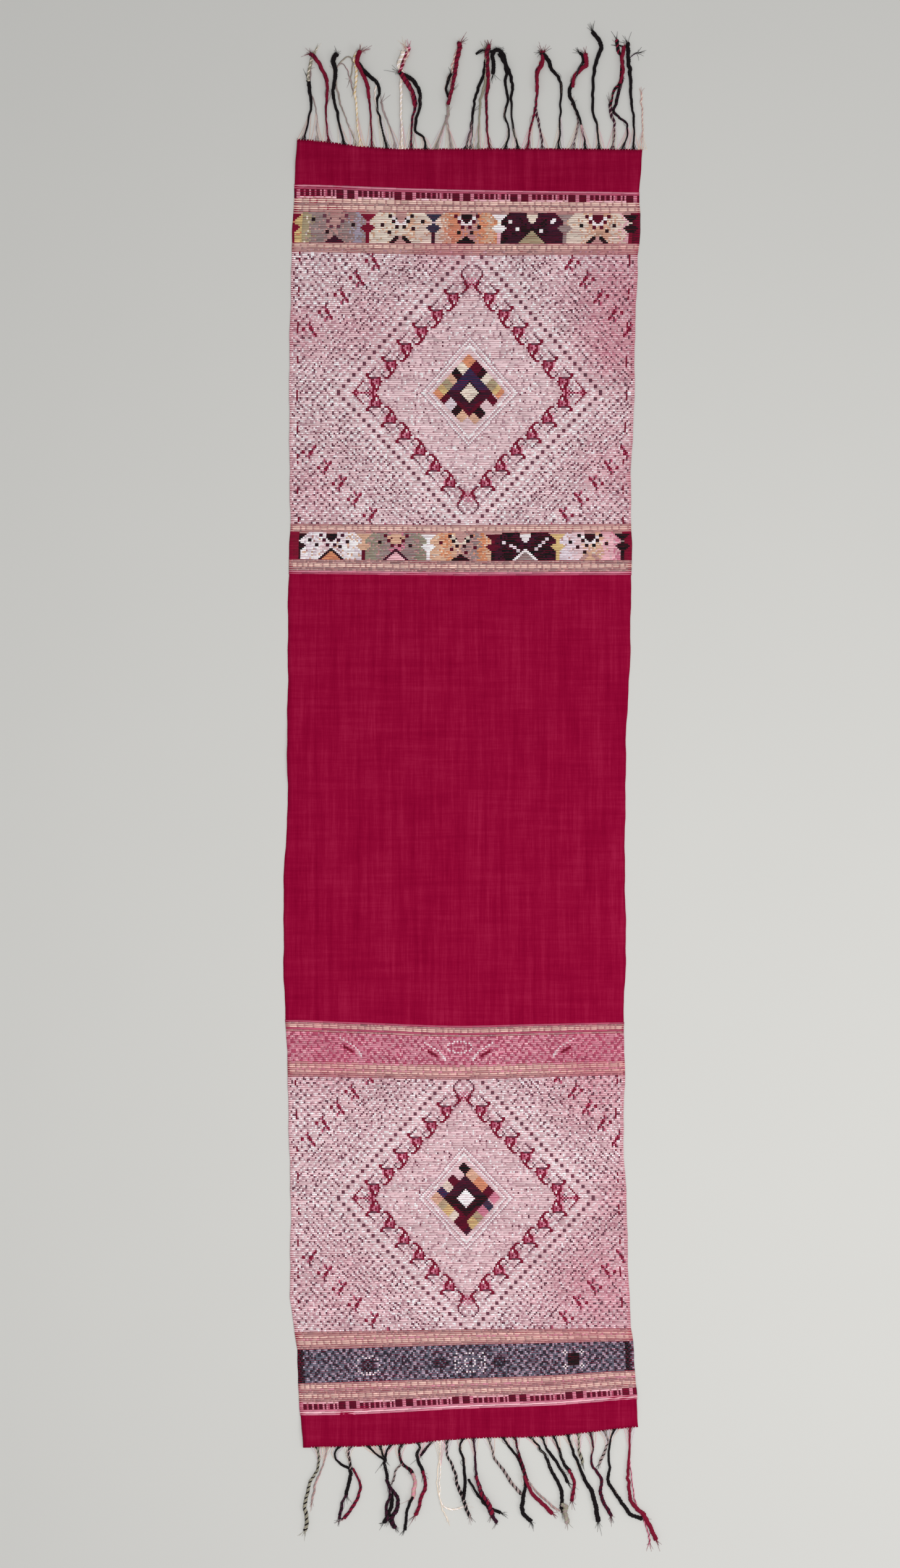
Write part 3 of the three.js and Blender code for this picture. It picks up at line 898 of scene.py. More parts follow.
# Separators from left to right: the yarns of the lozenges, the stem and the waist.
UPPER_SEPARATORS = ("kko", "kkp", "Nml", "Wxc", "eet", "bkc")
LOWER_SEPARATORS = ("bbW", "ara", "WWW", "rbk", "yyy", "bbe")
# Single floats of another batch fleck the motifs: how often, then the motif's yarn and the fleck's.
FLECKED = 0.13
FLECKS = dict(zip("caoWwetGlbxvy", "acaawtettmwco"))
# How far the colours of neighbouring patches run into each other, and a patch's width, in columns.
PATCH_BLUR = 1.8
PATCH_WIDTH = 4


def separator_yarn(letter, row, yarns):
    """The yarn of a separator's cell."""
    lozenge, stem, waist = yarns
    if letter == "z":
        return waist
    return lozenge if row < STEM_BEGINS else stem


def motif_band_chart(motifs, separators, reaches, seed):
    """A band of paired-creature motifs with separators between them. The first one may reach the selvage."""
    random = np.random.default_rng(seed)
    half = len(CREATURE_HALF[0])
    first = MOTIFS_BEGIN
    cells = np.full((len(CREATURE_HALF), BAND_COLUMNS), "r" if reaches else "k")
    last = first + 2 * half * len(motifs)
    for column in range(0 if reaches else first, last + 4):
        number, inside = divmod(max(0, column - first), 2 * half)
        mirrored = inside >= half or number == len(motifs)
        place = 2 * half - 1 - inside if inside >= half else inside
        if number == 0 and not mirrored and reaches:
            place = column if column < 8 else max(8, column - first)
        body, accents = motifs[min(number, len(motifs) - 1)][:2]
        between = separators[number + 1] if inside >= half else separators[number]
        for row, line in enumerate(CREATURE_HALF):
            letter = line[place]
            if letter in "sz":
                cells[row, column] = separator_yarn(letter, row, between)
            elif number < len(motifs):
                # Neighbouring colours run into each other, because the weaver laid them in by hand.
                patch = int(np.clip(inside + random.normal(0, PATCH_BLUR), 0, 2 * half - 1)) // PATCH_WIDTH
                yarn = body[patch] if column >= first else "y"
                if random.random() < FLECKED:
                    yarn = FLECKS.get(yarn, yarn)
                chosen = {"b": yarn, "x": accents[0], "o": accents[1], "v": accents[2], "t": "t"}
                cells[row, column] = chosen[letter]
    for number, (body, accents, feet, feet_yarns, dot, dots) in enumerate(motifs):
        middle = first + number * 2 * half + half
        lay_feet(cells, middle, feet, feet_yarns)
        for across, row in dots:
            cells[row : row + 2, middle + across - 1 : middle + across + 1] = dot
    return cells


def lay_feet(cells, middle, feet, yarns):
    """Sets the figure at a motif's foot into the chart, on both sides of its middle."""
    wide = len(feet[0])
    for row, line in enumerate(feet, start=len(cells) - len(feet)):
        for place, letter in enumerate(line):
            if letter != BARE:
                chosen = yarns[0] if letter == "h" else yarns[1]
                cells[row, middle - wide + place] = chosen
                cells[row, middle + wide - 1 - place] = chosen


# One repeat of the edging: a pair of squares, then six ticks, wide and thin, with pale pink between them.
REPEATS = {"ticks": "rrrrPPrrrrPPrrsrrPrrsrrPrPsrrPrP", "squares": "rrrrPPrrrrPPxxtxxxxtxxxxxtxxxtxx"}
# The yarns of a border's plainer rows, each float picked from its word's letters.
PLAIN_ROWS = {
    "pink": "P",
    "deep": "s",
    "pale": "x",
    "rosy": "ttR",
    "tan": "ttttttT",
    "grey": "TTTtt",
    "mixed": "tttttTTg",
}


def dash_line(columns, begin, random):
    """One row of pale dashes on tan, a little uneven."""
    row = ["t"] * begin
    while len(row) < columns:
        row += ["d"] * int(random.choice((2, 3, 3, 4))) + ["t"]
    return row[:columns]


def border_chart(plan, begin, seed):
    """A narrow border from a word for each row."""
    columns = BAND_COLUMNS
    random = np.random.default_rng(seed)
    made = []
    for word in plan:
        if word in REPEATS:
            made.append([REPEATS[word][(c - begin) % len(REPEATS[word])] for c in range(columns)])
        elif word == "dashes":
            made.append(dash_line(columns, len(made) % 3, random))
        elif word == "same":
            made.append(made[-1])
        elif len(PLAIN_ROWS[word]) == 1:
            made.append([PLAIN_ROWS[word]] * columns)
        else:
            made.append([str(letter) for letter in random.choice(list(PLAIN_ROWS[word]), columns)])
    return np.array(made)


def speckled_chart(rows, yarns, marks, seed):
    """A speckled band: a small slanted check, a little worn, and brighter marks charted over it."""
    columns = FIELD_COLUMNS
    base, net, light, knot = yarns
    random = np.random.default_rng(seed)
    across, headward = cell_offsets(rows, columns, (columns // 2, rows // 2))
    rising = np.cos(math.tau * (across + headward) / LACE_PITCH)
    falling = np.cos(math.tau * (across - headward) / LACE_PITCH)
    wave = rising + falling + random.normal(0, 0.9, (rows, columns))
    cells = np.select([wave > 1.7, wave > 1.0, wave < -0.7], [knot, light, net], base)
    for share, raised, flip, chart in marks:
        middle = (int(columns * share), rows // 2 - raised)
        stamp(cells, chart, middle, (0, 0), (len(chart[0]) // 2, len(chart) // 2), flip_across=flip)
    return cells


ROSE_OVAL = unfold("""
.....W.W.
..W.W.s.s
.W.s.s.ss
x.ss.RxRx
""")
ROSE_STROKE = """
W............
.xW..........
...xW........
.s..sxW......
..ks..sxW....
..kkks..sW...
...skkks.xW..
.....skks.xW.
.......ss..WW
............W
""".split()
DARK_RING = unfold_across("""
....W..U
..U...W.
.W..SuSS
...SSbSu
.U.uSSub
W..SSuSb
.U.uSSub
...SSbSu
.W..SuSS
..UW..W.
....W.WU
""")
DARK_OVAL = unfold("""
.W.....W.W
....U.....
W..W..uuuu
..U..uuWuU
W....uWu..
..W.uuU..b
""")
DARK_PATCH = """
...S.S...
..SSbSS..
.SSuSSuS.
SbSSuSSbS
.SuSSuSS.
..SSbSS..
...S.S...
""".split()
DARK_SQUARE = unfold("""
..W.....
.W.W....
..W.bbbb
....bbbb
U...bbbb
.U..bbbb
""")
DARK_END = ("bSb.u", "bbS..", "SbSb.") * 6

# Borders from head to foot: piece, head side, foot side, where the repeat begins, and a word for each row.
BORDERS = (
    (
        "border_head_edge", 780.8, 751.4, 23,
        "pink deep ticks ticks ticks squares dashes same grey dashes same tan",
    ),
    ("border_head_inner", 711, 696.2, 0, "tan dashes same tan mixed tan"),
    ("border_upper_middle", 347, 336.9, 0, "tan dashes same tan"),
    ("border_middle_edge", 300.6, 281.4, 0, "grey grey dashes same grey grey pink deep"),
    ("border_lower_middle", -300.6, -315, 0, "deep grey dashes same deep mixed"),
    ("border_lower_inner", -351.4, -370, 0, "rosy dashes same rosy dashes tan grey"),
    ("border_dark_head", -693.8, -713.4, 0, "grey tan dashes rosy dashes same tan grey"),
    (
        "border_foot_edge", -757, -796, 22,
        "grey dashes same rosy grey grey dashes same grey grey squares ticks ticks ticks pink pale pink",
    ),
)

# Twisted warp ends, in millimetres: the letters of the plies' two yarns, the width, and the stops of the
# route from the hem to the tip. Where a strand changes colour, another goes on from there.
HEAD_YARNS = """
bb 3.2 -205.6,848.8 -195.2,885.6 -197.6,908 -199.2,922.4
Gc 3 -199.2,920.8 -199.2,934.4 -194.4,952.8 -190.4,959.2
ee 1.3 -188,845.6 -189.6,885.6 -196.8,909.6 -196,938.4
rk 3.4 -172.8,842.4 -176,877.6 -174.4,908.8 -178.4,930.4 -189.6,949.6 -196,956
kk 3.2 -175.2,898.4 -174.4,916 -181.6,936.8 -192,952.8
bb 4 -152.8,840.8 -160.8,872.8 -167.2,904 -164,930.4 -167.2,949.6 -162.4,956
eG 1.6 -137.6,840.8 -148,865.6 -155.2,885.6 -162.4,909.6 -165.6,936.8
Ge 1.3 -162.4,938.4 -153.6,950.4 -144.8,952 -141.6,941.6 -145.6,924
ee 1 -165.6,932 -157.6,944 -149.6,936.8 -145.6,924 -140.8,906.4
cy 3 -132.8,839.2 -136,877.6 -138.4,908.8 -136.8,935.2 -139.2,948.8 -136,957.6
rk 3.2 -116.8,837.6 -119.2,877.6 -121.6,908.8 -128,929.6 -136,944.8 -133.6,957.6
kk 4 -120.8,898.4 -123.2,916 -130.4,933.6 -136.8,948 -132,959.2
bb 3.4 -97.6,837.6 -106.4,872.8 -110.4,891.2 -107.2,908.8 -111.2,919.2 -119.2,927.2 -129.6,936 -134.4,944
cW 1.6 -109.6,882.4 -112.8,902.4 -111.2,916
ee 1.6 -86.4,838.4 -93.6,862.4 -101.6,880.8 -104.8,894.4
cW 3.6 -77.6,837.6 -79.2,877.6 -79.2,916.8 -77.6,930.4 -81.6,942.4 -76.8,959.2
mk 3.4 -66.4,837.6 -64.8,869.6 -60.8,890.4 -64.8,908.8 -72,921.6 -77.6,930.4
kr 4.4 -61.6,888.8 -66.4,908 -73.6,920.8 -78.4,929.6
bb 3.6 -47.2,837.6 -49.6,847.2 -60,856 -60,870.4 -54.4,891.2 -56,908.8 -63.2,921.6 -72.8,927.2 -81.6,931.2
kp 3.4 -81.6,931.2 -76.8,942.4 -72.8,955.2 -69.6,964.8
tc 2.2 -79.2,936.8 -74.4,948 -70.4,957.6 -73.6,965.6
eG 2.6 -34.4,837.6 -24,862.4 -18.4,876 -18.4,892 -15.2,906.4
ee 2 -14.4,837.6 -18.4,860 -20.8,874.4
kr 4.2 -18.4,890.4 -13.6,912 -8.8,936.8 -5.6,956 -3.2,970.4
tc 2 -15.2,906.4 -13.6,932 -10.4,948 -5.6,962.4
bb 2.8 -18.6,900 -20.2,916 -15.2,930
bb 2.8 4,836 9.6,855.2 13.6,880.8 16.8,898.4 21.6,914.4 28,932 30.4,949.6
bb 1.8 11.2,837.6 13.6,866.4 14.4,882.4
GG 2.8 20,836 21.6,874.4 24,898.4 29.6,919.2 32,946.4 29.6,962.4
rk 3.2 35.2,836 32,862.4 31.2,890.4 33.6,922.4 32,949.6 33.6,965.6
kk 2.8 31.2,906.4 34.4,932 31.2,952.8 34.4,967.2
bb 2.6 17.6,956 25.6,960.8 36.8,959.2 44.8,960.8
bb 3.4 55.2,836 60.8,856.8 55.2,877.6 58.4,894.4 56,914.4 56.8,934.4 54.4,952.8 46.4,960.8 40.8,957.6
    40,943.2 40,930.4
bb 3.2 72,836 67.2,855.2 63.2,894.4 64.8,914.4 60.8,932 53.6,946.4 48,956
km 3.2 84,836 89.6,866.4 94.4,884 96.8,914.4 96,930.4 102.4,944.8 105.6,957.6
me 2.4 104,836 100,862.4 95.2,884
kk 3.4 96,906.4 96.8,928.8 104,944.8 103.2,959.2
bb 3.4 124.8,835.2 126.4,882.4 127.2,918.4 116,936.8 109.6,950.4 101.6,957.6
em 2.4 142.4,836 149.6,864.8 148.8,879.2 142.4,892
bb 3.2 159.2,836 153.6,864.8 145.6,886.4 139.2,904.8 141.6,918.4
kk 4.2 142.4,912.8 145.6,927.2 154.4,936.8 160.8,943.2 159.2,956
bb 2.6 140.8,914.4 148.8,932 156.8,949.6 152,957.6
bb 3.6 176.8,835.2 174.4,861.6 169.6,878.4 168.8,898.4 169.6,928.8 173.6,948 180,964 176,975.2 168,984.8
me 3 194.4,835.2 196.8,861.6 192.8,878.4 191.2,892
bk 3.2 191.2,888.8 196,908 204,919.2 205.6,934.4 207.2,948 201.6,962.4 199.2,974.4
bm 2.8 207.2,834.4 213.6,853.6 212.8,865.6 202.4,874.4 196,881.6 199.2,894.4 202.4,906.4 207.2,922.4
kk 3.4 204.8,917.6 207.2,935.2 206.4,951.2 209.6,965.6
bb 3.4 221.6,834.4 221.6,866.4 218.4,898.4 217.6,926.4 215.2,946.4 213.6,970.4
bb 1.3 215.2,949.6 222.4,956 227.2,957.6
bb 1.3 214.4,959.2 208.8,965.6 203.2,967.2
tc 1.3 231.2,834.4 233.6,869.6 231.2,906.4
"""
FOOT_YARNS = """
Gb 3.2 -188,-842.4 -184.8,-860 -188,-876 -196.8,-890.4 -200,-905.6 -203.2,-923.2 -200.8,-940 -203.2,-953.6
et 1.8 -175.2,-842.4 -179.2,-865.6 -189.6,-893.6 -194.4,-915.2
bb 3.2 -159.2,-840.8 -165.6,-856 -156,-868 -145.6,-874.4 -144.8,-882.4 -148,-895.2 -150.4,-908
be 2.6 -144.8,-842.4 -147.2,-855.2 -144,-874.4
km 3 -141.6,-872.8 -132,-893.6 -134.4,-909.6 -141.6,-922.4 -152.8,-937.6
mb 2.8 -149.6,-906.4 -156,-919.2 -159.2,-938.4
bb 3.4 -122.4,-839.2 -109.6,-856 -100.8,-862.4 -99.2,-874.4 -96,-890.4 -91.2,-913.6 -94.4,-930.4
    -100.8,-943.2
bb 2.6 -107.2,-838.4 -104,-852 -100,-863.2
bb 2.6 -92,-837.6 -97.6,-852 -100,-863.2
mb 4.2 -93.6,-896.8 -84.8,-909.6 -84,-925.6 -91.2,-936.8 -88,-949.6
mb 3 -98.4,-887.2 -92.8,-904.8 -98.4,-922.4 -96,-940
br 3.2 -78.4,-837.6 -81.6,-853.6 -77.6,-866.4 -68.8,-874.4 -64,-880.8
tp 3.6 -64,-879.2 -61.6,-895.2 -64.8,-912.8
bb 3 -64,-909.6 -70.4,-926.4 -74.4,-952.8
eb 2 -77.6,-866.4 -85.6,-876 -89.6,-890.4
bb 3.2 -56.8,-836 -54.4,-846.4 -58.4,-854.4 -56,-866.4 -51.2,-879.2
kr 3.6 -51.2,-876 -47.2,-893.6 -52,-908 -60.8,-933.6
bm 2.4 -40,-834.4 -46.4,-848 -54.4,-856.8
cW 1.4 -28.8,-833.6 -28.8,-877.6 -28,-916 -14.4,-926.4 3.2,-922.4
cc 1 -29.6,-853.6 -32.8,-893.6 -25.6,-925.6 -19.2,-938.4
be 3 -20,-832.8 -20,-855.2 -12,-870.4 -6.4,-893.6 0,-910.4 9.6,-935.2
bb 3 0.8,-832 -3.2,-845.6 1.6,-866.4 3.2,-893.6 1.6,-912.8
mm 3.2 14.4,-831.2 16.8,-857.6 17.6,-882.4 23.2,-898.4 32,-922.4 44,-943.2
km 4.2 17.6,-882.4 24,-903.2 33.6,-917.6 38.4,-932
bb 3 8,-887.2 21.6,-909.6 33.6,-922.4 48.8,-930.4
eb 2.8 34.4,-831.2 39.2,-852 44,-864 53.6,-876.8 64,-892 76.8,-906.4
bb 3.6 52.8,-828.8 60,-844 72,-860 81.6,-885.6 79.2,-912.8 77.6,-928.8 88.8,-941.6
rb 3 67.2,-828 70.4,-845.6 77.6,-869.6 83.2,-888.8
kk 3.8 80,-882.4 89.6,-904 100,-916 116.8,-931.2
et 2 82.4,-885.6 94.4,-901.6 105.6,-912.8 120.8,-925.6
bb 3.4 88,-828 99.2,-845.6 109.6,-862.4 116,-877.6 128,-902.4 128,-925.6
bb 3 102.4,-827.2 109.6,-848 119.2,-860.8 136.8,-891.2
bb 3 118.4,-826.4 124,-845.6 131.2,-866.4 139.2,-876.8
kr 3.4 137.6,-874.4 144,-890.4 142.4,-915.2
Ge 4.6 128,-919.2 134.4,-922.4 132.8,-928.8 135.2,-943.2
bb 4 136.8,-826.4 141.6,-845.6 148,-862.4 160,-890.4 168,-904 172.8,-925.6 176,-941.6
Gb 2.4 150.4,-826.4 151.2,-849.6 156,-866.4
mr 3.2 165.6,-824.8 168.8,-845.6 167.2,-866.4 173.6,-877.6 180,-888 179.2,-906.4 185.6,-922.4 192.8,-934.4
eb 2.4 183.2,-823.2 188.8,-837.6 183.2,-853.6 177.6,-867.2
bb 3.4 196.8,-821.6 190.4,-841.6 190.4,-874.4 188.8,-890.4 201.6,-909.6 216,-931.2 232.8,-938.4
kk 3.8 216.8,-817.6 216,-849.6 214.4,-874.4 215.2,-893.6 219.2,-917.6 232,-930.4 241.6,-946.4 250.4,-965.6
pk 1.4 216,-853.6 219.2,-890.4 224,-917.6 236.8,-944.8 242.4,-968.8
"""
# The yarns of the pale filaments that stray from every strand: partly loose pale fibres, partly a painted
# highlight on the strands.
PALE_YARNS = "clxd"
# How near to the hem's edge a strand begins that grows out of it, and the steps of its route, in millimetres.
NEAR_HEM = 14
ROUTE_STEP = 1.3
PLIES = 3
# How many filaments a root's fan and a frayed tip have, and how many points each.
FAN_FILAMENTS = 5
TIP_FILAMENTS = 9
FILAMENT_POINTS = 6
# How far a root's fan reaches to each side, in millimetres, and the step of the route where it first meets.
CLOSE_FAN = (4.6, 5)
PALE_FAN = (7.5, 18)


def strands_of(text):
    """A fringe's strands, each with its plies' letters, its width and its stops."""
    strands = []
    for word in text.split():
        if word.isalpha():
            strands.append([word])
        else:
            strands[-1].append([float(part) for part in word.split(",")])
    return [(letters, width[0], np.array(stops)) for letters, width, *stops in strands]


def hem_edge(end, x):
    """Where the hem's edge lies at one spot across the cloth, in millimetres."""
    at = np.array([end])
    left = along_warp(at, LEFT)
    right = along_warp(at, RIGHT)
    return end + bow_of(at, np.clip((x - left) / (right - left), 0, 1))[0]


def smooth_route(stops, count):
    """Points at equal steps on a smooth curve through a few stops, from a Catmull-Rom curve."""
    stops = np.array(stops, dtype=float)
    last = len(stops) - 1
    t = np.linspace(0, last, count)
    step = np.clip(np.floor(t).astype(int), 0, last - 1)
    steps = (np.maximum(step - 1, 0), step, step + 1, np.minimum(step + 2, last))
    return smooth_between(*[stops[s] for s in steps], (t - step)[:, None])


def add_yarn(curve, route, radii, letter_index):
    """One filament or ply as a spline. route is in the part's metres."""
    spline = curve.splines.new("POLY")
    spline.points.add(len(route) - 1)
    spline.points.foreach_set("co", np.column_stack((route, np.ones(len(route)))).ravel())
    spline.points.foreach_set("radius", radii)
    spline.material_index = letter_index


def lay_over(route, laid, width, height):
    """How far a strand rises to pass over the strands laid before it, in long low humps."""
    if not len(laid):
        return height
    near = np.hypot(route[:, None, 0] - laid[None, :, 0], route[:, None, 1] - laid[None, :, 1])
    crossed = (near < width * 0.8).any(axis=1).astype(float)
    humps = np.convolve(crossed, np.hanning(11) / 3, mode="same")
    return height + np.minimum(humps, 1) * width * 0.55


def sideways(heading):
    """The directions at right angles to a route's headings."""
    return np.column_stack((-heading[:, 1], heading[:, 0]))


def hairs(curve, route, heading, width, height, letter_index, count, random):
    """Loose fibres that stray from a strand along its way."""
    sizes = bpy.context.scene.fringe_sizes
    for _ in range(count):
        begin = int(random.integers(0, max(1, len(route) - 8)))
        steps = min(int(random.integers(6, 16)), len(route) - begin)
        bulge = random.normal(0, 0.34 * width) * np.sin(np.linspace(0, math.pi, steps))
        aside = bulge + random.normal(0, 0.3)
        beside = sideways(heading)[begin : begin + steps]
        path = route[begin : begin + steps] + beside * aside[:, None]
        rise = height[begin : begin + steps] + random.uniform(-0.2, 0.5) * width * 0.5
        places = in_part(path[:, 0], path[:, 1], np.maximum(rise, 0.25))
        add_yarn(curve, places, np.full(steps, sizes.wisp_radius * 0.8), letter_index)


def tip_brush(curve, route, heading, height, yarns, random):
    """The frayed tip of a strand."""
    sizes = bpy.context.scene.fringe_sizes
    tip = route[-1]
    for _ in range(TIP_FILAMENTS):
        aim = heading[-1] + random.normal(0, 0.38, 2)
        length = random.uniform(3, 11)
        bend = random.normal(0, 1.4, 2)
        halfway = tip + aim * length * 0.45 + bend * 0.3
        stray = smooth_route([route[-3], halfway, tip + aim * length + bend], FILAMENT_POINTS)
        z = np.linspace(height[-1] * 0.8, 0.3, FILAMENT_POINTS)
        places = in_part(stray[:, 0], stray[:, 1], z)
        radii = sizes.wisp_radius * np.linspace(1.3, 0.5, FILAMENT_POINTS)
        add_yarn(curve, places, radii, yarns[int(random.integers(0, len(yarns)))])


def root_fan(curve, route, end, outward, height, yarns, size, random):
    """The few warps that run out of the hem on both sides of a strand and gather into it."""
    sizes = bpy.context.scene.fringe_sizes
    reach, first_meet = size
    for spread in np.linspace(-1, 1, FAN_FILAMENTS):
        begin_x = route[0, 0] + spread * reach
        begin = hem_edge(end, begin_x) - outward * 1.2
        meet = min(first_meet + int(random.integers(0, 4)), len(route) - 1)
        halfway = route[meet // 2]
        stops = [(begin_x, begin), (halfway[0] + spread * reach * 0.5, halfway[1]), route[meet]]
        fan = smooth_route(stops, FILAMENT_POINTS)
        z = np.linspace(0.8, height[meet], FILAMENT_POINTS)
        z += lift_at(fan[:, 0], fan[:, 1]) * np.linspace(1, 0, FILAMENT_POINTS)
        places = in_part(fan[:, 0], fan[:, 1], z)
        radii = sizes.wisp_radius * np.linspace(1.8, 0.9, FILAMENT_POINTS)
        add_yarn(curve, places, radii, yarns[int(random.integers(0, len(yarns)))])


def coloured_mesh(curve, name):
    """A curve's tubes as a mesh whose colours come from each tube's yarn."""
    source = bpy.data.objects.new(name + "_curve", curve)
    bpy.context.scene.collection.objects.link(source)
    bpy.context.view_layer.update()
    mesh = bpy.data.meshes.new_from_object(source.evaluated_get(bpy.context.evaluated_depsgraph_get()))
    bpy.data.objects.remove(source)
    yarn_of_face = np.empty(len(mesh.polygons), dtype=np.int32)
    mesh.polygons.foreach_get("material_index", yarn_of_face)
    colours = np.array([(*colour, 1.0) for colour in yarn_palette().values()], dtype=np.float32)
    sides = np.empty(len(mesh.polygons), dtype=np.int32)
    mesh.polygons.foreach_get("loop_total", sides)
    attribute = mesh.color_attributes.new("yarn_colour", "FLOAT_COLOR", "CORNER")
    attribute.data.foreach_set("color", np.repeat(colours[yarn_of_face], sides, axis=0).ravel())
    mesh.polygons.foreach_set("material_index", np.zeros(len(mesh.polygons), dtype=np.int32))
    mesh.polygons.foreach_set("use_smooth", np.ones(len(mesh.polygons), dtype=bool))
    mesh.name = name
    return mesh


def fringe_piece(name, node, strands, end, outward, seed):
    """A fringe: each strand's twisted plies, its fanned root, its stray hairs and its frayed tip."""
    sizes = bpy.context.scene.fringe_sizes
    random = np.random.default_rng(seed)
    letters = list(yarn_palette())
    pale = [letters.index(letter) for letter in PALE_YARNS]
    curve = bpy.data.curves.new(name, "CURVE")
    curve.dimensions = "3D"
    curve.bevel_depth = 1.0
    curve.bevel_resolution = 0
    curve.use_fill_caps = True
    for _ in letters:
        curve.materials.append(None)
    laid = np.empty((0, 2))
    for plies, twisted_width, stops in strands_of(strands):
        width = twisted_width * sizes.fullness
        hem = hem_edge(end, stops[0, 0])
        from_hem = abs(stops[0, 1] - hem) < NEAR_HEM
        if from_hem:
            stops[0, 1] = hem - outward * 0.8
        reach = np.linalg.norm(np.diff(stops, axis=0), axis=1).sum()
        count = max(12, int(reach / ROUTE_STEP))
        route = smooth_route(stops, count)
        # Soft yarn keeps small kinks.
        kinks = np.convolve(random.normal(0, 0.5, count + 8), np.hanning(9) / 2, mode="valid")
        route[:, 0] += kinks * np.minimum(np.arange(count) / 6, 1)
        heading = np.gradient(route, axis=0)
        heading /= np.linalg.norm(heading, axis=1)[:, None] + 1e-9
        beside = sideways(heading)
        half = width / 2
        height = lay_over(route, laid, width, np.full(count, half * 0.8 + 0.1))
        settle = np.clip(1 - np.arange(count) / 16, 0, 1) if from_hem else np.zeros(count)
        height = height + lift_at(route[:, 0], route[:, 1]) * settle
        travelled = np.concatenate(([0], np.cumsum(np.linalg.norm(np.diff(route, axis=0), axis=1))))
        share = np.linspace(0, 1, count)
        # A strand is tight where it leaves the hem and opens towards its tip.
        grip = np.minimum(0.6 + 1.1 * share, 1.4) if from_hem else 1 + 0.4 * share
        yarns = [letters.index(letter) for letter in plies]
        for ply in range(PLIES):
            angle = math.tau * (travelled / (sizes.twist_length / MM) + ply / PLIES)
            ring = half * 0.5 * grip
            x = route[:, 0] + beside[:, 0] * ring * np.cos(angle)
            y = route[:, 1] + beside[:, 1] * ring * np.cos(angle)
            z = height + ring * 0.6 * np.sin(angle)
            radii = sizes.ply_radius * width / 2.4 * grip
            add_yarn(curve, in_part(x, y, np.maximum(z, radii / MM + 0.05)), radii, yarns[ply % 2])
        hairs(curve, route, heading, width, height, yarns[0], 5, random)
        hairs(curve, route, heading, width, height, yarns[1], 4, random)
        # Pale hairs on every strand: partly loose pale fibres, partly a painted highlight along the strand.
        chosen = pale[int(random.integers(0, len(pale)))]
        hairs(curve, route, heading, width, height, chosen, 4, random)
        if from_hem:
            root_fan(curve, route, end, outward, height, yarns, CLOSE_FAN, random)
            root_fan(curve, route, end, outward, height, pale, PALE_FAN, random)
        tip_brush(curve, route, heading, height, yarns, random)
        laid = np.vstack((laid, route))
    mesh = coloured_mesh(curve, name)
    piece = link_piece(name, mesh, material_once(twisted_yarn))
    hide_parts(node)
    return piece


class CLOTH_OT_ground(bpy.types.Operator):
    """Weave the crimson ground with its hems and selvages"""

    bl_idname = "cloth.ground"
    bl_label = "Weave the ground"

    def execute(self, context):
        sizes = context.scene.cloth_sizes
        bm = bmesh.new()
        bmesh.ops.create_grid(bm, x_segments=sizes.columns, y_segments=sizes.rows, size=0.5)
        thick = sizes.ground_thickness / MM
        flat = np.array([v.co[:] for v in bm.verts])
        at = FOOT_END + (HEAD_END - FOOT_END) * (flat[:, 1] + 0.5)
        share = flat[:, 0] + 0.5
        x, y, lift = cloth_place(share, at)
        selvage = np.exp(-((np.minimum(share, 1 - share) / DOUBLED_SHARE) ** 2)) * DOUBLED_RISE
        places = in_part(x, y, lift + thick + selvage)
        for vert, place in zip(bm.verts, places):
            vert.co = place
        under = bmesh.ops.extrude_face_region(bm, geom=bm.faces[:])["geom"]
        lower = [v for v in under if isinstance(v, bmesh.types.BMVert)]
        bmesh.ops.translate(bm, vec=(0, 0, -(thick - OFF_SURFACE) * MM), verts=lower)
        bmesh.ops.recalc_face_normals(bm, faces=bm.faces[:])
        mesh = bpy.data.meshes.new("ground_cloth")
        bm.to_mesh(mesh)
        bm.free()
        mesh.polygons.foreach_set("use_smooth", np.ones(len(mesh.polygons), dtype=bool))
        planar_map(mesh)
        piece = link_piece("ground_cloth", mesh, material_once(plain_weave_cotton))
        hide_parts("cloth")
        return {"FINISHED"}


class CLOTH_OT_fields(bpy.types.Operator):
    """Weave the two large pattern fields"""

    bl_idname = "cloth.fields"
    bl_label = "Weave the fields"

    def execute(self, context):
        # Rows, middle cell, the medallion's blocks, its heart's yarn and its dark diamond's yarns.
        upper = field_chart(148, (106, 73), UPPER_MEDALLION, "c", "mnnr", SEED)
        weave_band("upper_field", upper, 696, 347.2, middle=(73.5, 518.1))
        lower = field_chart(144, (106, 68), LOWER_MEDALLION, "W", "bmmr", SEED + 1)
        weave_band("lower_field", lower, -370.2, -693.6, seed=SEED + 1)
        return {"FINISHED"}


class CLOTH_OT_motif_bands(bpy.types.Operator):
    """Weave the two bands of paired creatures"""

    bl_idname = "cloth.motif_bands"
    bl_label = "Weave the motif bands"

    def execute(self, context):
        bands = (
            ("upper_motif_band", UPPER_MOTIFS, UPPER_SEPARATORS, True, 751.2, 711.2),
            ("lower_motif_band", LOWER_MOTIFS, LOWER_SEPARATORS, False, 336.7, 300.8),
        )
        for name, motifs, separators, reaches, head_side, foot_side in bands:
            chart = motif_band_chart(motifs, separators, reaches, SEED)
            weave_band(name, chart, head_side, foot_side, longest=6)
        return {"FINISHED"}


class CLOTH_OT_borders(bpy.types.Operator):
    """Weave the dashed, ticked and pink borders"""

    bl_idname = "cloth.borders"
    bl_label = "Weave the borders"

    def execute(self, context):
        for number, (name, head_side, foot_side, begin, words) in enumerate(BORDERS):
            chart = border_chart(words.split(), begin, SEED + number)
            weave_band(name, chart, head_side, foot_side, longest=7, height=0.8, seed=SEED + number)
        return {"FINISHED"}


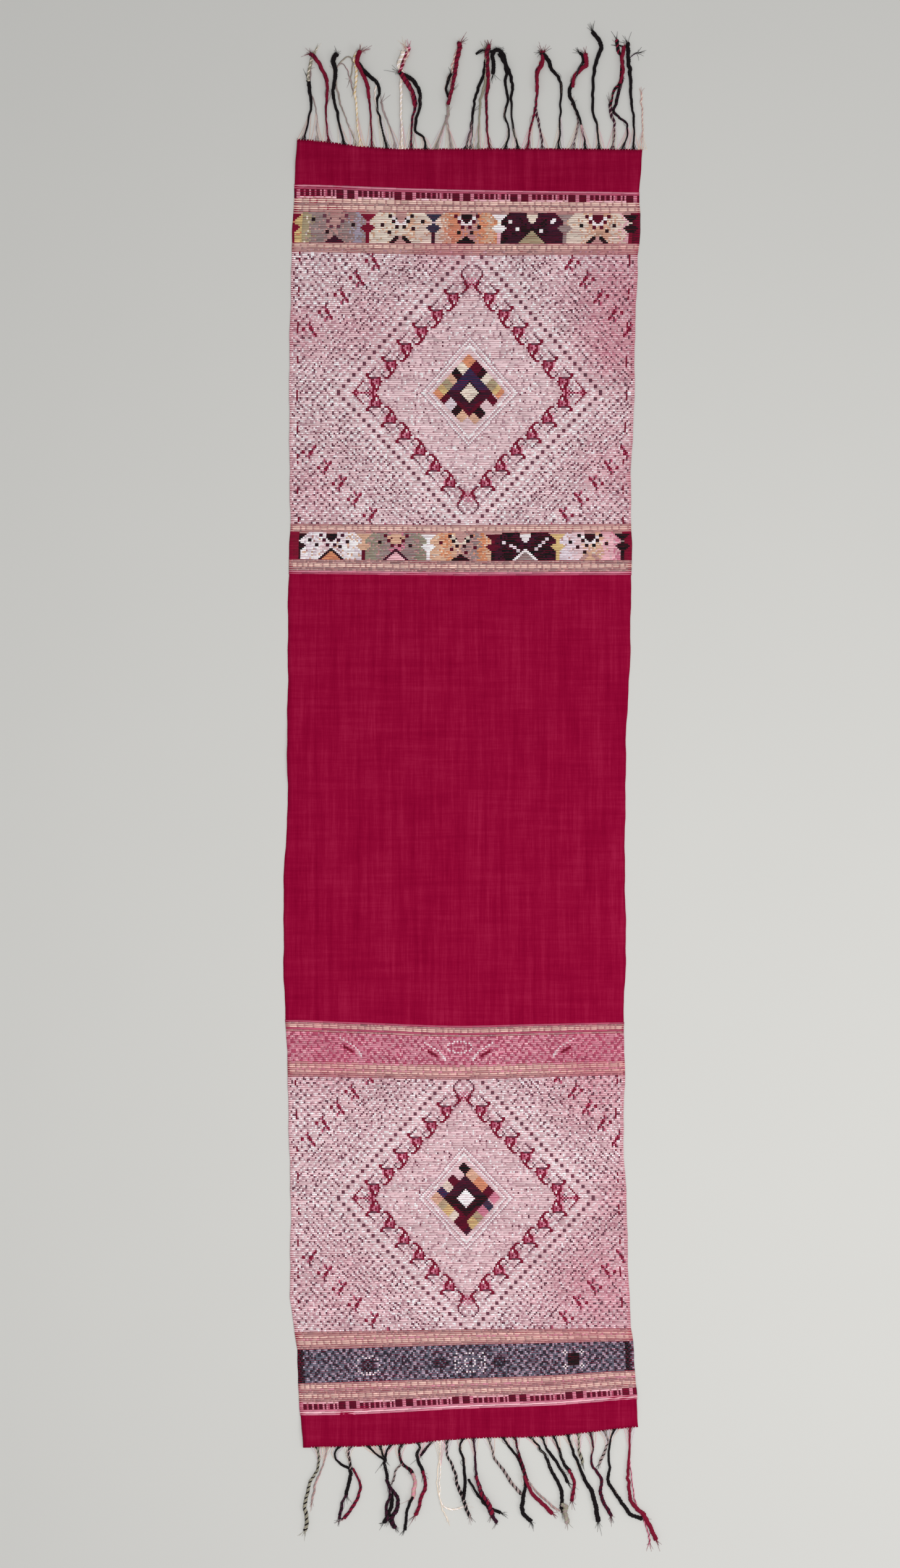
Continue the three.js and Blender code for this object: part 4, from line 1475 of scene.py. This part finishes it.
class CLOTH_OT_speckled_bands(bpy.types.Operator):
    """Weave the rose band and the charcoal band"""

    bl_idname = "cloth.speckled_bands"
    bl_label = "Weave the speckled bands"

    def execute(self, context):
        # Each mark: its share of the width, the rows it is raised, whether it is mirrored, its chart.
        rose_marks = (
            (0.19, 0, False, ROSE_STROKE),
            (0.44, -1, False, ROSE_STROKE),
            (0.51, 2, False, ROSE_OVAL),
            (0.58, -1, True, ROSE_STROKE),
            (0.82, 0, True, ROSE_STROKE),
        )
        rose = speckled_chart(15, "RsRx", rose_marks, SEED)
        weave_band("rose_band", rose, -315.2, -351.2, longest=4)
        dark_marks = (
            (0.01, 0, False, DARK_END),
            (0.21, 0, False, DARK_RING),
            (0.43, 0, False, DARK_PATCH),
            (0.512, 0, False, DARK_OVAL),
            (0.6, 0, False, DARK_PATCH),
            (0.82, 0, False, DARK_SQUARE),
            (0.99, 0, False, DARK_END),
        )
        dark = speckled_chart(18, "uSUU", dark_marks, SEED + 1)
        weave_band("charcoal_band", dark, -713.6, -756.8, longest=4, seed=SEED + 1)
        return {"FINISHED"}


class CLOTH_OT_fringes(bpy.types.Operator):
    """Twist the warp ends into the head and foot fringes"""

    bl_idname = "cloth.fringes"
    bl_label = "Twist the fringes"

    def execute(self, context):
        fringe_piece("head_twists", "head_fringe", HEAD_YARNS, HEAD_END, 1, SEED)
        fringe_piece("foot_twists", "foot_fringe", FOOT_YARNS, FOOT_END, -1, SEED + 3)
        return {"FINISHED"}


class CLOTH_OT_stage(bpy.types.Operator):
    """Set up the pale surface, the soft light and the camera"""

    bl_idname = "cloth.stage"
    bl_label = "Set the stage"

    def execute(self, context):
        scene = context.scene
        settings = scene.cloth_stage
        bm = bmesh.new()
        bmesh.ops.create_grid(bm, x_segments=8, y_segments=8, size=8)
        mesh = bpy.data.meshes.new("pale_board")
        bm.to_mesh(mesh)
        bm.free()
        board = bpy.data.objects.new("pale_board", mesh)
        scene.collection.objects.link(board)
        mesh.materials.append(pale_surface(tuple(settings.floor_colour)))
        # The view's middle, in the outline's own millimetres.
        view_middle = in_part(np.array([-16.0]), np.array([12.0]), np.array([0.0]))[0]
        eye = bpy.data.cameras.new("over_the_cloth")
        eye.sensor_fit = "HORIZONTAL"
        eye.lens = eye.sensor_width * settings.camera_height / settings.frame_width
        camera = bpy.data.objects.new("over_the_cloth", eye)
        camera.location = (view_middle[0], view_middle[1], settings.camera_height)
        scene.collection.objects.link(camera)
        scene.camera = camera
        scene.view_settings.view_transform = "Standard"
        world = bpy.data.worlds.new("soft_room")
        world.use_nodes = True
        room = world.node_tree.nodes["Background"]
        room.inputs["Color"].default_value = (0.985, 0.99, 1.0, 1)
        room.inputs["Strength"].default_value = 0.55
        scene.world = world
        # Each row: name, place in metres, what it faces, size across in metres, power in watts.
        lamps = (
            ("soft_overhead", (0.5, -0.55, 2.6), (0.5, -0.55, 0), 1.4, 38.5),
            ("low_window", (2.6, -1.7, 1.7), (0, 0, 0), 0.9, 17.5),
        )
        for name, spot, faced, across, power in lamps:
            light = bpy.data.lights.new(name, "AREA")
            light.size = across
            light.energy = power
            lamp = bpy.data.objects.new(name, light)
            lamp.location = spot
            lamp.rotation_euler = (Vector(faced) - Vector(spot)).to_track_quat("-Z", "Y").to_euler()
            lamp.visible_camera = False
            scene.collection.objects.link(lamp)
        return {"FINISHED"}


class CLOTH_PT_panel(bpy.types.Panel):
    """Lists the steps in the order in which they run"""

    bl_idname = "CLOTH_PT_panel"
    bl_label = "Ceremonial cloth"
    bl_space_type = "VIEW_3D"
    bl_region_type = "UI"
    bl_category = "Cloth"

    def draw(self, context):
        layout = self.layout
        for step in STEPS:
            layout.operator(step.bl_idname)
        for group in (getattr(context.scene, name) for name in SETTINGS):
            for name in group.bl_rna.properties.keys():
                if name not in ("rna_type", "name"):
                    layout.prop(group, name)


SETTINGS = {
    "cloth_sizes": ClothSizes,
    "fringe_sizes": FringeSizes,
    "cloth_yarns": YarnColours,
    "cloth_stage": StageSettings,
}
STEPS = (
    CLOTH_OT_stage,
    CLOTH_OT_ground,
    CLOTH_OT_fields,
    CLOTH_OT_motif_bands,
    CLOTH_OT_borders,
    CLOTH_OT_speckled_bands,
    CLOTH_OT_fringes,
)


def register():
    for cls in (*SETTINGS.values(), *STEPS, CLOTH_PT_panel):
        bpy.utils.register_class(cls)
    for name, group in SETTINGS.items():
        setattr(bpy.types.Scene, name, bpy.props.PointerProperty(type=group))


def unregister():
    for name in SETTINGS:
        delattr(bpy.types.Scene, name)
    for cls in reversed((*SETTINGS.values(), *STEPS, CLOTH_PT_panel)):
        bpy.utils.unregister_class(cls)


def main():
    register()
    bpy.ops.cloth.stage()
    bpy.ops.cloth.ground()
    bpy.ops.cloth.fields()
    bpy.ops.cloth.motif_bands()
    bpy.ops.cloth.borders()
    bpy.ops.cloth.speckled_bands()
    bpy.ops.cloth.fringes()


if __name__ == "__main__":
    main()
